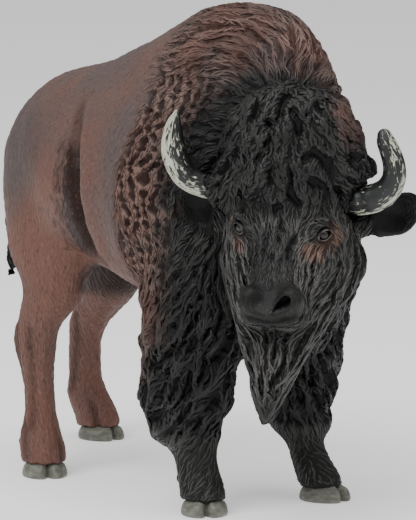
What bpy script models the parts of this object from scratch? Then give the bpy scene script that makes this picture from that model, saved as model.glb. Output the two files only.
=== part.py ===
"""Moulded toy figurine of an American bison bull, walking, with its head turned to its right.

Metres, +Z up, and the point under the middle of the figurine's box is the origin. The bull faces -Y,
so its right side is at -X. The tables give centimetres, which CM turns into metres.

The body and the head are each lofted from sections, fused into one closed skin and thinned to flat
triangles. Thin cuts then part them where a bull's own parts meet. Hooves, horns and eyes are solids
of their own, let into the flesh.
"""

import math

import bmesh
import bpy
import numpy as np
from mathutils import Matrix, Vector

CM = 0.01
HUMP_HEIGHT = 9.25  # floor to the top of the hump: one twentieth of a real bull
PART_GAP = 0.03  # clear width between neighbouring parts
FUSE_VOXEL = 0.075
SMOOTHING_PASSES = 7
BODY_TRIANGLES = 3100
HEAD_TRIANGLES = 1900

X, Y, Z = Vector((1, 0, 0)), Vector((0, 1, 0)), Vector((0, 0, 1))

# Trunk sections, rump to chest: y, x, top, bottom, half width, and how much the top narrows.
TRUNK = [
    (4.8, 0.0, 6.45, 5.8, 0.2, 0.1),
    (4.6, 0.0, 6.85, 5.0, 0.74, 0.1),
    (4.2, 0.0, 7.17, 4.6, 1.08, 0.15),
    (3.5, 0.0, 7.56, 4.4, 1.53, 0.2),
    (2.5, 0.0, 7.76, 4.2, 1.8, 0.22),
    (1.4, 0.0, 8.0, 3.95, 1.92, 0.25),
    (0.1, 0.0, 8.52, 3.7, 2.08, 0.3),
    (-0.7, 0.0, 8.87, 3.6, 2.14, 0.33),
    (-1.7, 0.0, 9.18, 3.35, 2.14, 0.34),
    (-2.6, 0.08, HUMP_HEIGHT, 2.85, 1.93, 0.33),
    (-3.3, 0.22, 9.15, 2.6, 1.53, 0.28),
    (-4.0, 0.22, 8.78, 2.9, 1.16, 0.22),
    (-4.6, 0.2, 8.02, 3.9, 0.88, 0.2),
    (-5.0, 0.1, 7.1, 5.0, 0.45, 0.2),
]

# Leg sections, downwards: x, y, z, half width across, half width fore and aft.
LEGS = {
    "front_right": [
        (-1.1, -2.3, 5.6, 0.8, 1.15),
        (-1.25, -2.5, 4.2, 0.95, 1.12),
        (-1.33, -2.6, 3.3, 0.95, 1.12),
        (-1.35, -2.56, 2.5, 0.82, 0.98),
        (-1.35, -2.54, 2.05, 0.8, 0.95),
        (-1.35, -2.5, 1.7, 0.69, 0.82),
        (-1.36, -2.46, 1.36, 0.6, 0.7),
        (-1.33, -2.72, 1.08, 0.38, 0.45),
        (-1.32, -2.82, 0.75, 0.36, 0.44),
        (-1.32, -2.95, 0.48, 0.4, 0.46),
        (-1.32, -2.98, 0.26, 0.4, 0.45),
    ],
    "front_left": [
        (1.1, -2.3, 5.6, 0.8, 1.15),
        (1.25, -2.35, 4.2, 0.92, 1.12),
        (1.3, -2.25, 3.3, 0.9, 1.1),
        (1.28, -2.2, 2.5, 0.8, 0.98),
        (1.28, -2.2, 2.05, 0.74, 0.9),
        (1.28, -2.22, 1.7, 0.66, 0.8),
        (1.28, -2.34, 1.3, 0.54, 0.64),
        (1.27, -2.5, 1.02, 0.34, 0.4),
        (1.28, -2.7, 0.72, 0.34, 0.42),
        (1.31, -2.88, 0.45, 0.38, 0.47),
        (1.32, -2.98, 0.26, 0.4, 0.46),
    ],
    "hind_right": [
        (-0.85, 2.9, 6.3, 0.8, 1.45),
        (-1.0, 2.6, 5.2, 0.9, 1.65),
        (-1.15, 2.3, 4.4, 0.8, 1.35),
        (-1.4, 2.05, 3.65, 0.52, 0.72),
        (-1.54, 2.1, 3.2, 0.42, 0.56),
        (-1.59, 2.3, 2.75, 0.37, 0.55),
        (-1.6, 2.33, 2.4, 0.35, 0.5),
        (-1.6, 2.24, 1.9, 0.29, 0.38),
        (-1.6, 2.16, 1.3, 0.28, 0.36),
        (-1.6, 2.15, 0.88, 0.36, 0.44),
        (-1.6, 2.08, 0.56, 0.42, 0.5),
        (-1.6, 2.04, 0.26, 0.41, 0.47),
    ],
    "hind_left": [
        (0.85, 3.3, 6.3, 0.8, 1.35),
        (1.0, 3.5, 5.2, 0.88, 1.45),
        (1.15, 3.7, 4.4, 0.78, 1.2),
        (1.32, 4.1, 3.5, 0.54, 0.92),
        (1.45, 4.6, 2.9, 0.42, 0.68),
        (1.5, 5.22, 2.4, 0.34, 0.52),
        (1.53, 5.44, 2.0, 0.29, 0.39),
        (1.54, 5.48, 1.55, 0.28, 0.37),
        (1.55, 5.48, 1.18, 0.3, 0.39),
        (1.56, 5.46, 0.9, 0.37, 0.48),
        (1.58, 5.2, 0.56, 0.42, 0.52),
        (1.6, 5.06, 0.26, 0.42, 0.48),
    ],
}

# Where each leg leaves the body: inner side, top, front, back; and the level of its lower cut.
LEG_CUTS = {
    "front_right": (-0.42, 4.3, -4.6, -1.0, 1.2),
    "front_left": (0.42, 4.3, -4.6, -0.9, 1.18),
    "hind_right": (-0.3, 4.7, 0.4, 4.87, 3.05),
    "hind_left": (0.3, 4.7, 1.6, 6.4, 2.75),
}

# Hooves: x, y, and how far the toe turns towards the bull's left.
HOOVES = {
    "front_right": (-1.32, -3.02, -28.0),
    "front_left": (1.33, -3.06, 16.0),
    "hind_right": (-1.6, 2.0, -22.0),
    "hind_left": (1.6, 5.0, 8.0),
}
HOOF_HEIGHT = 0.28
HOOF_RIM = (0.43, 0.5)  # half width, half length at the floor
HOOF_TAPER = 0.88
CLEFT_DEPTH = 0.42  # of the hoof's half length
CLEFT_WIDTH = 11.0  # degrees
HOOF_POINTS = 26

NECK = [
    (0.15, -2.6, 6.3, 1.6, 2.3),
    (0.15, -3.5, 6.2, 1.3, 2.2),
    (0.0, -4.2, 6.0, 1.15, 1.85),
    (-0.35, -4.7, 5.8, 0.95, 1.4),
]
TAIL = [
    (0.0, 4.2, 6.85, 0.22, 0.22),
    (-0.06, 4.8, 6.72, 0.19, 0.19),
    (-0.16, 5.14, 6.3, 0.15, 0.15),
    (-0.26, 5.24, 5.5, 0.13, 0.13),
    (-0.32, 5.26, 4.8, 0.16, 0.16),
    (-0.35, 5.27, 4.3, 0.21, 0.21),
    (-0.35, 5.26, 3.85, 0.18, 0.18),
    (-0.33, 5.24, 3.5, 0.09, 0.09),
    (-0.32, 5.22, 3.35, 0.04, 0.04),
]
TAIL_CUT, TUFT_CUT = 6.45, 4.75

# The head has axes of its own: forward, left and up from the poll.
POLL = Vector((-0.15, -4.25, 6.9))
HEAD_TURN = -47.0
FACE_SLOPE = 32.0  # of the face, from the vertical
FACE_START = (0.95, -0.45)  # forward and up, where distances down the face begin
# Face sections square to its slope: distance down it, half width, half thickness.
FACE = [
    (-0.95, 0.45, 0.4),
    (-0.7, 0.85, 0.75),
    (-0.2, 1.08, 1.0),
    (0.35, 1.05, 1.02),
    (0.85, 0.93, 0.96),
    (1.25, 0.8, 0.86),
    (1.7, 0.65, 0.74),
    (2.15, 0.6, 0.64),
    (2.5, 0.64, 0.56),
    (2.8, 0.58, 0.44),
    (2.97, 0.34, 0.24),
]
# Round masses of the head: forward, left, up, three half sizes; a pair if left isn't zero.
HEAD_MASSES = {
    "crown": (0.45, 0.0, -0.12, 0.85, 1.36, 1.14),
    "forehead": (0.92, 0.0, -0.66, 0.52, 0.98, 0.78),
    "temple": (0.42, 0.8, -0.95, 0.6, 0.52, 0.5),
    "jaws": (0.25, 0.0, -1.3, 0.85, 1.22, 1.25),
    "brow": (1.16, 0.7, -1.27, 0.28, 0.24, 0.15),
    "cheek": (0.75, 0.72, -1.95, 0.5, 0.5, 0.6),
    "nose_wing": (2.17, 0.36, -2.62, 0.23, 0.25, 0.25),
    "chin": (1.85, 0.0, -2.98, 0.42, 0.4, 0.26),
}
# Hair that stands before the horns' roots, higher on the left: as above, but single.
TEMPLE_HAIR = {
    "right": (0.6, -1.2, -0.86, 0.45, 0.4, 0.42),
    "left": (0.56, 1.2, -0.48, 0.42, 0.38, 0.38),
}
# Hanging hair of the jaws and beard: forward, left, up, half width, half depth.
BEARD = [
    (0.6, 0.0, -1.3, 1.2, 0.7),
    (0.7, 0.0, -2.1, 1.28, 0.82),
    (0.9, 0.0, -2.7, 1.12, 0.8),
    (1.2, -0.02, -3.2, 0.88, 0.68),
    (1.45, -0.08, -3.7, 0.62, 0.5),
    (1.55, -0.12, -4.15, 0.44, 0.38),
    (1.6, -0.19, -4.6, 0.28, 0.26),
    (1.62, -0.22, -4.98, 0.1, 0.12),
]
BEARD_CUT = -3.3
EYES = {"right": (1.22, -0.72, -1.49), "left": (1.22, 0.715, -1.575)}
EYE_RADIUS = 0.13
# Horn centrelines: forward, left, up, radius. The right one is the longer.
HORNS = {
    "right": [
        (0.45, -0.95, -1.0, 0.25),
        (0.5, -1.35, -1.0, 0.24),
        (0.53, -1.69, -0.89, 0.235),
        (0.56, -1.93, -0.71, 0.24),
        (0.6, -2.06, -0.43, 0.245),
        (0.66, -2.12, -0.12, 0.225),
        (0.7, -2.1, 0.24, 0.15),
        (0.7, -2.04, 0.48, 0.045),
    ],
    "left": [
        (0.5, 0.9, -1.08, 0.29),
        (0.52, 1.25, -1.1, 0.29),
        (0.58, 1.52, -1.02, 0.28),
        (0.64, 1.77, -0.87, 0.25),
        (0.68, 1.9, -0.64, 0.225),
        (0.7, 1.91, -0.38, 0.2),
        (0.7, 1.84, -0.15, 0.18),
        (0.7, 1.76, 0.05, 0.15),
        (0.7, 1.73, 0.17, 0.08),
    ],
}
# Ear sections from the root outwards: forward, left, up, half height, half thickness.
EAR = [
    (0.3, 0.95, -1.56, 0.22, 0.17),
    (0.22, 1.4, -1.45, 0.33, 0.17),
    (0.16, 1.75, -1.32, 0.4, 0.16),
    (0.13, 2.0, -1.23, 0.35, 0.13),
    (0.12, 2.17, -1.2, 0.2, 0.07),
]
EAR_CUT = 1.38
EAR_FRONT, EAR_TOP = 0.42, -0.86

# Trunk cuts, front to back: y at the floor and how far the cut leans back per unit of height.
TRUNK_CUTS = {"neck": (-3.55, 0.05), "shoulders": (-0.35, 0.12), "barrel": (1.1, 0.14)}

PAINTS = {
    "brown_coat": (0.16, 0.085, 0.062),
    "black_wool": (0.03, 0.026, 0.025),
    "hoof_grey": (0.2, 0.2, 0.17),
    "horn_paint": (0.3, 0.3, 0.26),
    "eye_gloss": (0.02, 0.018, 0.018),
}
ROUGHNESS = {"eye_gloss": 0.15}
PAINT_ROUGHNESS = 0.55


def head_axes():
    """The head's forward and left directions."""
    turn = math.radians(HEAD_TURN)
    forward = Vector((math.sin(turn), -math.cos(turn), 0))
    left = Vector((math.cos(turn), math.sin(turn), 0))
    return forward, left


def in_head(forward, left, up):
    """The place, in the row frame, of a point given in the head's axes."""
    ahead, aside = head_axes()
    return POLL + forward * ahead + left * aside + up * Z


def smooth_through(rows, steps=4):
    """Rows of numbers joined by a Catmull-Rom curve, with this many steps in each span."""
    rows = np.array(rows, float)
    ends = np.vstack([2 * rows[0] - rows[1], rows, 2 * rows[-1] - rows[-2]])
    made = []
    for a, b, c, d in zip(ends, ends[1:], ends[2:], ends[3:]):
        for t in np.arange(steps) / steps:
            square = (2 * a - 5 * b + 4 * c - d) * t**2
            cube = (3 * b - a - 3 * c + d) * t**3
            made.append((2 * b + (c - a) * t + square + cube) / 2)
    made.append(rows[-1])
    return [[float(value) for value in row] for row in made]


def add_object(name, builder):
    """A new object in the scene from a bmesh, which is freed."""
    mesh = bpy.data.meshes.new(name)
    builder.to_mesh(mesh)
    builder.free()
    obj = bpy.data.objects.new(name, mesh)
    bpy.context.scene.collection.objects.link(obj)
    return obj


def loft(name, sections, sides=20):
    """A closed tube through sections: centre, half sizes a and b, their directions, narrowing along b."""
    builder = bmesh.new()
    rings = []
    for centre, half_a, half_b, axis_a, axis_b, narrowing in sections:
        ring = []
        for i in range(sides):
            angle = 2 * math.pi * i / sides
            width = half_a * (1 - narrowing * math.sin(angle))
            offset = math.cos(angle) * width * axis_a + math.sin(angle) * half_b * axis_b
            ring.append(builder.verts.new((centre + offset) * CM))
        rings.append(ring)
    for lower, upper in zip(rings, rings[1:]):
        for i in range(sides):
            j = (i + 1) % sides
            builder.faces.new((lower[i], lower[j], upper[j], upper[i]))
    builder.faces.new(rings[0])
    builder.faces.new(rings[-1])
    bmesh.ops.recalc_face_normals(builder, faces=builder.faces)
    return add_object(name, builder)


def tube(name, rows, level, sides=14, steps=3):
    """A loft square to its own centreline; rows are a point and the half sizes along and across level."""
    rows = smooth_through(rows, steps)
    sections = []
    for i, row in enumerate(rows):
        before, after = rows[max(i - 1, 0)], rows[min(i + 1, len(rows) - 1)]
        tangent = (Vector(after[:3]) - Vector(before[:3])).normalized()
        axis_a = (level - level.dot(tangent) * tangent).normalized()
        axis_b = tangent.cross(axis_a)
        sections.append((Vector(row[:3]), row[3], row[4], axis_a, axis_b, 0))
    return loft(name, sections, sides)


def ball(name, centre, half_sizes, turn=0.0, subdivisions=3):
    """An ellipsoid, its first half size along the direction that -Y turns to."""
    builder = bmesh.new()
    bmesh.ops.create_icosphere(builder, subdivisions=subdivisions, radius=CM)
    ahead, aside, up = half_sizes
    place = (
        Matrix.Translation(centre * CM)
        @ Matrix.Rotation(math.radians(turn), 4, "Z")
        @ Matrix.Diagonal((aside, ahead, up, 1))
    )
    bmesh.ops.transform(builder, matrix=place, verts=builder.verts)
    return add_object(name, builder)


def trunk_form():
    rows = [(y, x, (top + low) / 2, w, (top - low) / 2, n) for y, x, top, low, w, n in TRUNK]
    sections = [(Vector((x, y, z)), w, h, X, Z, n) for y, x, z, w, h, n in smooth_through(rows)]
    return loft("trunk_form", sections, 28)


def leg_form(name, rows):
    sections = [(Vector((x, y, z)), w, d, X, Y, 0) for x, y, z, w, d in smooth_through(rows)]
    return loft(name, sections, 18)


def face_form():
    """The skull and muzzle, in sections square to the sloping face."""
    ahead, aside = head_axes()
    slope = math.radians(FACE_SLOPE)
    out = ahead * math.cos(slope) + Z * math.sin(slope)
    sections = []
    for distance, half_width, half_thickness in smooth_through(FACE):
        forward = FACE_START[0] + distance * math.sin(slope)
        up = FACE_START[1] - distance * math.cos(slope)
        centre = in_head(forward, 0, up) - out * half_thickness
        sections.append((centre, half_width, half_thickness, aside, out, 0))
    return loft("face_form", sections, 24)


def beard_form():
    ahead, aside = head_axes()
    rows = smooth_through(BEARD)
    return loft("beard_form", [(in_head(f, l, u), w, d, aside, ahead, 0) for f, l, u, w, d in rows])


def head_mass_forms():
    for name, (forward, left, up, *half_sizes) in HEAD_MASSES.items():
        for side in (-1, 1) if left else (1,):
            centre = in_head(forward, side * left, up)
            yield ball(f"{name}_form", centre, half_sizes, HEAD_TURN)
    for name, (forward, left, up, *half_sizes) in TEMPLE_HAIR.items():
        yield ball(f"hair_{name}_form", in_head(forward, left, up), half_sizes, HEAD_TURN)


def ear_forms():
    for side in (-1, 1):
        rows = [(*in_head(f, side * l, u), height, depth) for f, l, u, height, depth in EAR]
        yield tube("ear_form", rows, Z)


def apply_modifier(obj, kind, **settings):
    """Replaces the object's mesh by what one modifier makes of it."""
    modifier = obj.modifiers.new(kind.lower(), kind)
    for key, value in settings.items():
        setattr(modifier, key, value)
    graph = bpy.context.evaluated_depsgraph_get()
    made = bpy.data.meshes.new_from_object(obj.evaluated_get(graph))
    obj.modifiers.clear()
    obj.data = made
    return obj


def fused(name, forms, triangles):
    """One closed, smooth skin around these overlapping forms, in about this many triangles."""
    builder = bmesh.new()
    for form in forms:
        builder.from_mesh(form.data)
        bpy.data.objects.remove(form)
    skin = add_object(name, builder)
    apply_modifier(skin, "REMESH", mode="VOXEL", voxel_size=FUSE_VOXEL * CM)
    apply_modifier(skin, "SMOOTH", factor=0.5, iterations=SMOOTHING_PASSES)
    apply_modifier(skin, "TRIANGULATE")
    apply_modifier(skin, "DECIMATE", ratio=triangles / len(skin.data.polygons))
    return skin


def copy_of(obj, name):
    made = bpy.data.objects.new(name, obj.data.copy())
    bpy.context.scene.collection.objects.link(made)
    return made


def combine(obj, cutter, operation):
    """Applies one Boolean and leaves the cutter in place."""
    return apply_modifier(obj, "BOOLEAN", operation=operation, object=cutter, solver="EXACT")


def grown(obj, by):
    """A copy with its surface moved outwards by this many centimetres."""
    made = copy_of(obj, "grown")
    return apply_modifier(made, "DISPLACE", strength=by * CM, mid_level=0)


def cut_clear(obj, other):
    """Removes from an object all that lies nearer to the other than the gap between parts."""
    cutter = grown(other, PART_GAP)
    combine(obj, cutter, "DIFFERENCE")
    bpy.data.objects.remove(cutter)


def block(low, high, lean=0.0):
    """A box between two corners, in centimetres, whose y grows by lean per unit of height."""
    builder = bmesh.new()
    corners = bmesh.ops.create_cube(builder, size=1)["verts"]
    for corner in corners:
        place = [a + (b - a) * (c + 0.5) for a, b, c in zip(low, high, corner.co)]
        place[1] += lean * place[2]
        corner.co = Vector(place) * CM
    return add_object("block", builder)


def part_off(body, name, low, high, place=None, lean=0.0):
    """Moves what lies in a block from the body into a part of its own, with a gap between them."""
    part = copy_of(body, name)
    keep = block(low, high, lean)
    margin = Vector((1, 1, 1)) * PART_GAP
    remove = block(Vector(low) - margin, Vector(high) + margin, lean)
    for cutter in (keep, remove):
        if place is not None:
            cutter.data.transform(place)
    combine(part, keep, "INTERSECT")
    combine(body, remove, "DIFFERENCE")
    bpy.data.objects.remove(keep)
    bpy.data.objects.remove(remove)
    return part


def make_horns(head):
    for side, rows in HORNS.items():
        rows = [(*in_head(f, l, u), radius, radius) for f, l, u, radius in rows]
        horn = tube(f"horn_{side}", rows, head_axes()[0], sides=10, steps=2)
        cut_clear(head, horn)


def make_eyes(head):
    for side, place in EYES.items():
        eye = ball(f"eye_{side}", in_head(*place), [EYE_RADIUS] * 3, HEAD_TURN, subdivisions=2)
        cut_clear(head, eye)


def make_head():
    """The head with its horns and eyes let in, and its beard and ears parted off."""
    forms = [face_form(), beard_form(), *head_mass_forms(), *ear_forms()]
    head = fused("head", forms, HEAD_TRIANGLES)
    whole = copy_of(head, "whole_head")
    to_head = Matrix.Translation(POLL * CM) @ Matrix.Rotation(math.radians(HEAD_TURN), 4, "Z")
    make_horns(head)
    make_eyes(head)
    part_off(head, "beard", (-3, -3, -6), (3, 1.5, BEARD_CUT), to_head)
    part_off(head, "ear_right", (-3, -EAR_FRONT, -3), (-EAR_CUT, 1.5, EAR_TOP), to_head)
    part_off(head, "ear_left", (EAR_CUT, -EAR_FRONT, -3), (3, 1.5, EAR_TOP), to_head)
    return head, whole


def part_legs(body):
    """Parts each leg from the body and its lower half from the upper, down to its hoof."""
    hoof_cut = HOOF_HEIGHT + PART_GAP
    for name, (inner, top, front, back, lower_cut) in LEG_CUTS.items():
        outer = math.copysign(4, inner)
        left, right = min(inner, outer), max(inner, outer)
        leg = part_off(body, f"{name}_upper_leg", (left, front, -1), (right, back, top))
        lower = part_off(leg, f"{name}_lower_leg", (-4, -6, hoof_cut), (4, 8, lower_cut))
        waste = part_off(leg, "waste", (-4, -6, -1), (4, 8, hoof_cut))
        bpy.data.objects.remove(waste)


def make_body(head):
    """The neck, shoulders, barrel, hindquarters, tail and legs."""
    forms = [trunk_form(), tube("neck_form", NECK, X), tube("tail_form", TAIL, X)]
    forms += [leg_form(name, rows) for name, rows in LEGS.items()]
    body = fused("hindquarters", forms, BODY_TRIANGLES)
    cut_clear(body, head)
    part_legs(body)
    tail = part_off(body, "tail", (-0.9, 4.9, 2), (0.25, 7, TAIL_CUT))
    part_off(tail, "tail_tuft", (-0.9, 4, 2), (0.25, 7, TUFT_CUT))
    for name, (y, lean) in TRUNK_CUTS.items():
        part_off(body, name, (-4, -9, 1), (4, y, 11), lean=lean)


def hoof_outline(scale):
    """Points round a cloven hoof, starting at the toe, which points to -Y."""
    half_width, half_length = HOOF_RIM
    points = []
    for i in range(HOOF_POINTS):
        angle = 360 * i / HOOF_POINTS
        from_toe = min(angle, 360 - angle)
        notch = CLEFT_DEPTH * math.exp(-((from_toe / CLEFT_WIDTH) ** 2))
        reach = scale * (1 - notch)
        bearing = math.radians(angle)
        points.append((half_width * reach * math.sin(bearing), -half_length * reach * math.cos(bearing)))
    return points


def make_hooves():
    for name, (x, y, turn) in HOOVES.items():
        builder = bmesh.new()
        rings = []
        for height, scale in ((0, 0.97), (0.05, 1.0), (HOOF_HEIGHT, HOOF_TAPER)):
            outline = hoof_outline(scale)
            rings.append([builder.verts.new((a * CM, b * CM, height * CM)) for a, b in outline])
        for lower, upper in zip(rings, rings[1:]):
            for i in range(len(lower)):
                j = (i + 1) % len(lower)
                builder.faces.new((lower[i], lower[j], upper[j], upper[i]))
        builder.faces.new(rings[0])
        builder.faces.new(rings[-1])
        bmesh.ops.recalc_face_normals(builder, faces=builder.faces)
        place = Matrix.Translation(Vector((x, y, 0)) * CM) @ Matrix.Rotation(math.radians(turn), 4, "Z")
        bmesh.ops.transform(builder, matrix=place, verts=builder.verts)
        add_object(f"{name}_hoof", builder)


def paint_for(name):
    """The name of the paint on the part of this name."""
    if "hoof" in name:
        return "hoof_grey"
    if "horn" in name:
        return "horn_paint"
    if "eye" in name:
        return "eye_gloss"
    black = ("head", "beard", "ear", "neck", "front", "tuft")
    return "black_wool" if any(word in name for word in black) else "brown_coat"


def paint(parts):
    """Gives every part a material of its own paint."""
    for part in parts:
        slot = paint_for(part.name)
        material = bpy.data.materials.new(f"{slot}_{part.name}")
        material.use_nodes = True
        shader = material.node_tree.nodes["Principled BSDF"]
        shader.inputs["Base Color"].default_value = (*PAINTS[slot], 1)
        shader.inputs["Roughness"].default_value = ROUGHNESS.get(slot, PAINT_ROUGHNESS)
        part.data.materials.clear()
        part.data.materials.append(material)


def centre_over_origin(parts):
    """Moves all parts together so that the middle of their box stands over the origin."""
    corners = np.array([vertex.co[:] for part in parts for vertex in part.data.vertices])
    middle = (corners.min(axis=0) + corners.max(axis=0)) / 2
    shift = Matrix.Translation((-middle[0], -middle[1], 0))
    for part in parts:
        part.data.transform(shift)


def main():
    for obj in list(bpy.data.objects):
        bpy.data.objects.remove(obj)
    head, whole_head = make_head()
    make_body(whole_head)
    bpy.data.objects.remove(whole_head)
    make_hooves()
    parts = list(bpy.context.scene.objects)
    centre_over_origin(parts)
    paint(parts)


main()
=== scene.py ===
"""The look of the toy bison: a sculpted, painted skin with moulded locks of wool, horns, eyes and hooves."""

import math

import bmesh
import bpy
import numpy as np
from mathutils import Matrix, Vector, noise
from mathutils.bvhtree import BVHTree
from mathutils.kdtree import KDTree


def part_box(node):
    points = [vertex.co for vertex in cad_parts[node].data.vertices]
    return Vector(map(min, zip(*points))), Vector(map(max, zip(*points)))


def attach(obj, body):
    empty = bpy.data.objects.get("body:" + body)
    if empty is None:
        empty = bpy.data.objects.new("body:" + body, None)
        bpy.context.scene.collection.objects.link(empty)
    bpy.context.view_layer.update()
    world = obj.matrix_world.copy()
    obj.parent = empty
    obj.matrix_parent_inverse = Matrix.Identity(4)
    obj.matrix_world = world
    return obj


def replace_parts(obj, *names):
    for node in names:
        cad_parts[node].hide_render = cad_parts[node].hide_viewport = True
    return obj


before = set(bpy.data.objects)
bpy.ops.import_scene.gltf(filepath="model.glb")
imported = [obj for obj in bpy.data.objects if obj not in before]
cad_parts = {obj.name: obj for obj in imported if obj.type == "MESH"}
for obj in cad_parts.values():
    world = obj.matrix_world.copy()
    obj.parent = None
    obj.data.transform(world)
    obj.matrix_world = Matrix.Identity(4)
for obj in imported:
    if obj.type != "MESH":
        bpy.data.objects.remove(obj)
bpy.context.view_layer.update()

CM = 0.01
MM = 0.001
UP = np.array([0.0, 0.0, 1.0])

FLESH = [
    "head", "beard", "ear_left", "ear_right", "neck", "shoulders", "barrel", "hindquarters",
    "front_left_upper_leg", "front_left_lower_leg", "front_right_upper_leg", "front_right_lower_leg",
    "hind_left_upper_leg", "hind_left_lower_leg", "hind_right_upper_leg", "hind_right_lower_leg",
    "tail", "tail_tuft",
]
# How far each hoof is turned about the upright, in degrees.
HOOVES = {"front_right": -28, "front_left": 16, "hind_right": -22, "hind_left": 8}

SKIN_VOXEL = 0.36 * MM
SEAM_SWELL = 0.2 * MM  # closes the cuts between the flesh nodes before they are fused


# ---- small number helpers


def smooth(value, low, high):
    """0 below low, 1 above high, and a smooth step between."""
    t = np.clip((value - low) / (high - low), 0, 1)
    return t * t * (3 - 2 * t)


def fade(value, low, high):
    """1 below low, 0 above high, and a smooth step between."""
    return smooth(-value, -high, -low)


def band(value, low, full, end, high):
    """0 below low, 1 from full to end and 0 above high, with smooth steps between."""
    return smooth(value, low, full) * fade(value, end, high)


def unit(vectors):
    return vectors / np.maximum(np.linalg.norm(vectors, axis=-1, keepdims=True), 1e-12)


def blended(first, second, share):
    """The first where the share is 0, the second where it is 1."""
    return first * (1 - share) + second * share


def looked_up(table, place):
    """What a table of places and numbers gives, in straight steps between its rows."""
    return np.interp(place, *zip(*table))


def moved(points, amount, way):
    """Points moved this way, each by its own amount in centimetres."""
    return points + CM * amount[:, None] * way


def search_tree(points):
    tree = KDTree(len(points))
    for place, point in enumerate(points):
        tree.insert(point, place)
    tree.balance()
    return tree


def noise_at(points, size, seed=0.0, tall=1.0):
    """Smooth noise between about -1 and 1, with lumps of this size in metres, drawn out upwards."""
    scaled = points / (size * np.array([1, 1, tall])) + np.array([seed, 3.7 * seed, -1.9 * seed])
    return np.array([noise.noise(p) for p in map(Vector, scaled)])


def blob(coordinates, centre, radii):
    """A round falloff: 1 at the centre and 0 from these radii outwards."""
    square = sum(((c - m) / r) ** 2 for c, m, r in zip(coordinates, centre, radii))
    return np.clip(1 - square, 0, 1) ** 2


# ---- the head's own axes


def centre_of(node):
    """The middle of a CAD node's box, as an array in metres."""
    low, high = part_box(node)
    return np.array((low + high) / 2)


EYE_CENTRES = {side: centre_of(f"eye_{side}") for side in ("right", "left")}
EYE_RADIUS = 0.12 * CM
BROW = (EYE_CENTRES["right"] + EYE_CENTRES["left"]) / 2
ASIDE = unit((EYE_CENTRES["left"] - EYE_CENTRES["right"]) * (1, 1, 0))  # to the bull's left
AHEAD = np.array([ASIDE[1], -ASIDE[0], 0])
EYES_OFF_CENTRE = 0.0025 * CM
EYE_FORWARD, EYE_BELOW = 1.22 * CM, 1.5325 * CM  # the eyes from the poll
POLL = BROW - EYE_FORWARD * AHEAD + EYE_BELOW * UP + EYES_OFF_CENTRE * ASIDE
POLL_IN_BODY = np.array([-0.15, -4.25, 6.9])  # in centimetres
ORIGIN = POLL - POLL_IN_BODY * CM
EYE_TILT = math.radians(24)  # how far the outer corner lies above the inner one


def body_coordinates(points):
    """x, y and z in centimetres, from the point on the floor that the solids were built round."""
    return ((points - ORIGIN) / CM).T


def in_head(forward, left, up):
    """A point given in centimetres along the head's axes, from the poll."""
    return POLL + (forward * AHEAD + left * ASIDE + up * UP) * CM


def head_coordinates(points):
    """Forward, left and up from the poll, in centimetres, of many points."""
    offset = (points - POLL) / CM
    return offset @ AHEAD, offset @ ASIDE, offset @ UP


def eye_axes(side):
    """The way that an eye looks, level with it, and square to both."""
    sign = 1 if side == "left" else -1
    gaze = unit(0.72 * AHEAD + sign * 0.68 * ASIDE - 0.08 * UP)
    level = unit(np.cross(UP, gaze))
    tall = np.cross(gaze, level)
    cos, sin = math.cos(EYE_TILT), math.sin(EYE_TILT) * sign
    return gaze, level * cos + tall * sin, tall * cos - level * sin


def eye_coordinates(points, side):
    """Level, tall and out from an eye's centre, in centimetres."""
    gaze, level, tall = eye_axes(side)
    offset = (points - EYE_CENTRES[side]) / CM
    return offset @ level, offset @ tall, offset @ gaze


# ---- where the coats and paints lie

# The cape's rear edge: height, and how far back its roots reach there, in centimetres.
CAPE_EDGE = (
    (1.0, -1.1), (4.4, -1.45), (5.2, -1.45), (6.1, -1.38),
    (7.1, -1.62), (7.8, -1.6), (8.1, -1.45), (9.3, -1.5),
)
# The black paint's rear edge on the shoulders: height and y, in centimetres.
BLACK_EDGE = (
    (1.2, -1.3), (2.1, -1.7), (2.7, -2.3), (3.3, -2.75), (4.0, -2.85),
    (4.8, -2.7), (5.5, -2.6), (7.0, -2.85), (7.6, -3.1),
)
CHAP_END = 1.45  # height where the front legs' long hair stops
TUFT_TOP, TUFT_END = 4.8, 3.2


def node_tree_of(names):
    """A search tree over the surfaces of these CAD nodes."""
    vertices, faces = [], []
    for name in names:
        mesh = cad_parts[name].data
        start = len(vertices)
        vertices += [v.co.copy() for v in mesh.vertices]
        faces += [[start + i for i in p.vertices] for p in mesh.polygons]
    return BVHTree.FromPolygons(vertices, faces)


HEAD_NODES = ("head", "beard", "ear_left", "ear_right")
HEAD_TREE = node_tree_of(HEAD_NODES)
BODY_TREE = node_tree_of([name for name in FLESH if name not in HEAD_NODES])


def head_share(points):
    """1 on the head, beard and ears, and 0 on the body."""
    to_head, to_body = (
        np.array([tree.find_nearest(p)[3] for p in map(Vector, points)]) for tree in (HEAD_TREE, BODY_TREE)
    )
    return smooth(to_body - to_head, -0.4 * MM, 0.4 * MM)


def muzzle_share(points):
    """1 on the bare, smooth muzzle and lips."""
    forward, left, up = head_coordinates(points)
    nose = smooth(forward + 0.35 * (up + 2.3), 1.9, 2.02)
    nose = nose * smooth(-up + 0.5 * np.abs(left + 0.1), 2.36, 2.56)
    return nose * smooth(up - 0.35 * left**2, -3.2, -3.1) * fade(np.abs(left), 0.75, 0.85)


def bridge_share(points):
    """1 on the nose's bridge, where the hair is short and smooth."""
    forward, left, up = head_coordinates(points)
    across = fade(np.abs(left + 0.08), 0.2, 0.55)
    return across * band(up, -2.75, -2.6, -1.7, -1.2) * smooth(forward, 0.9, 1.2)


def eye_distance(points):
    """Distance from the nearer eye's axis, in centimetres, and far more behind it."""
    found = np.full(len(points), 9.0)
    for side in EYE_CENTRES:
        along, across, out = eye_coordinates(points, side)
        reach = np.hypot(along, across) + 9 * (out < -0.2)
        found = np.minimum(found, reach)
    return found


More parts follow.
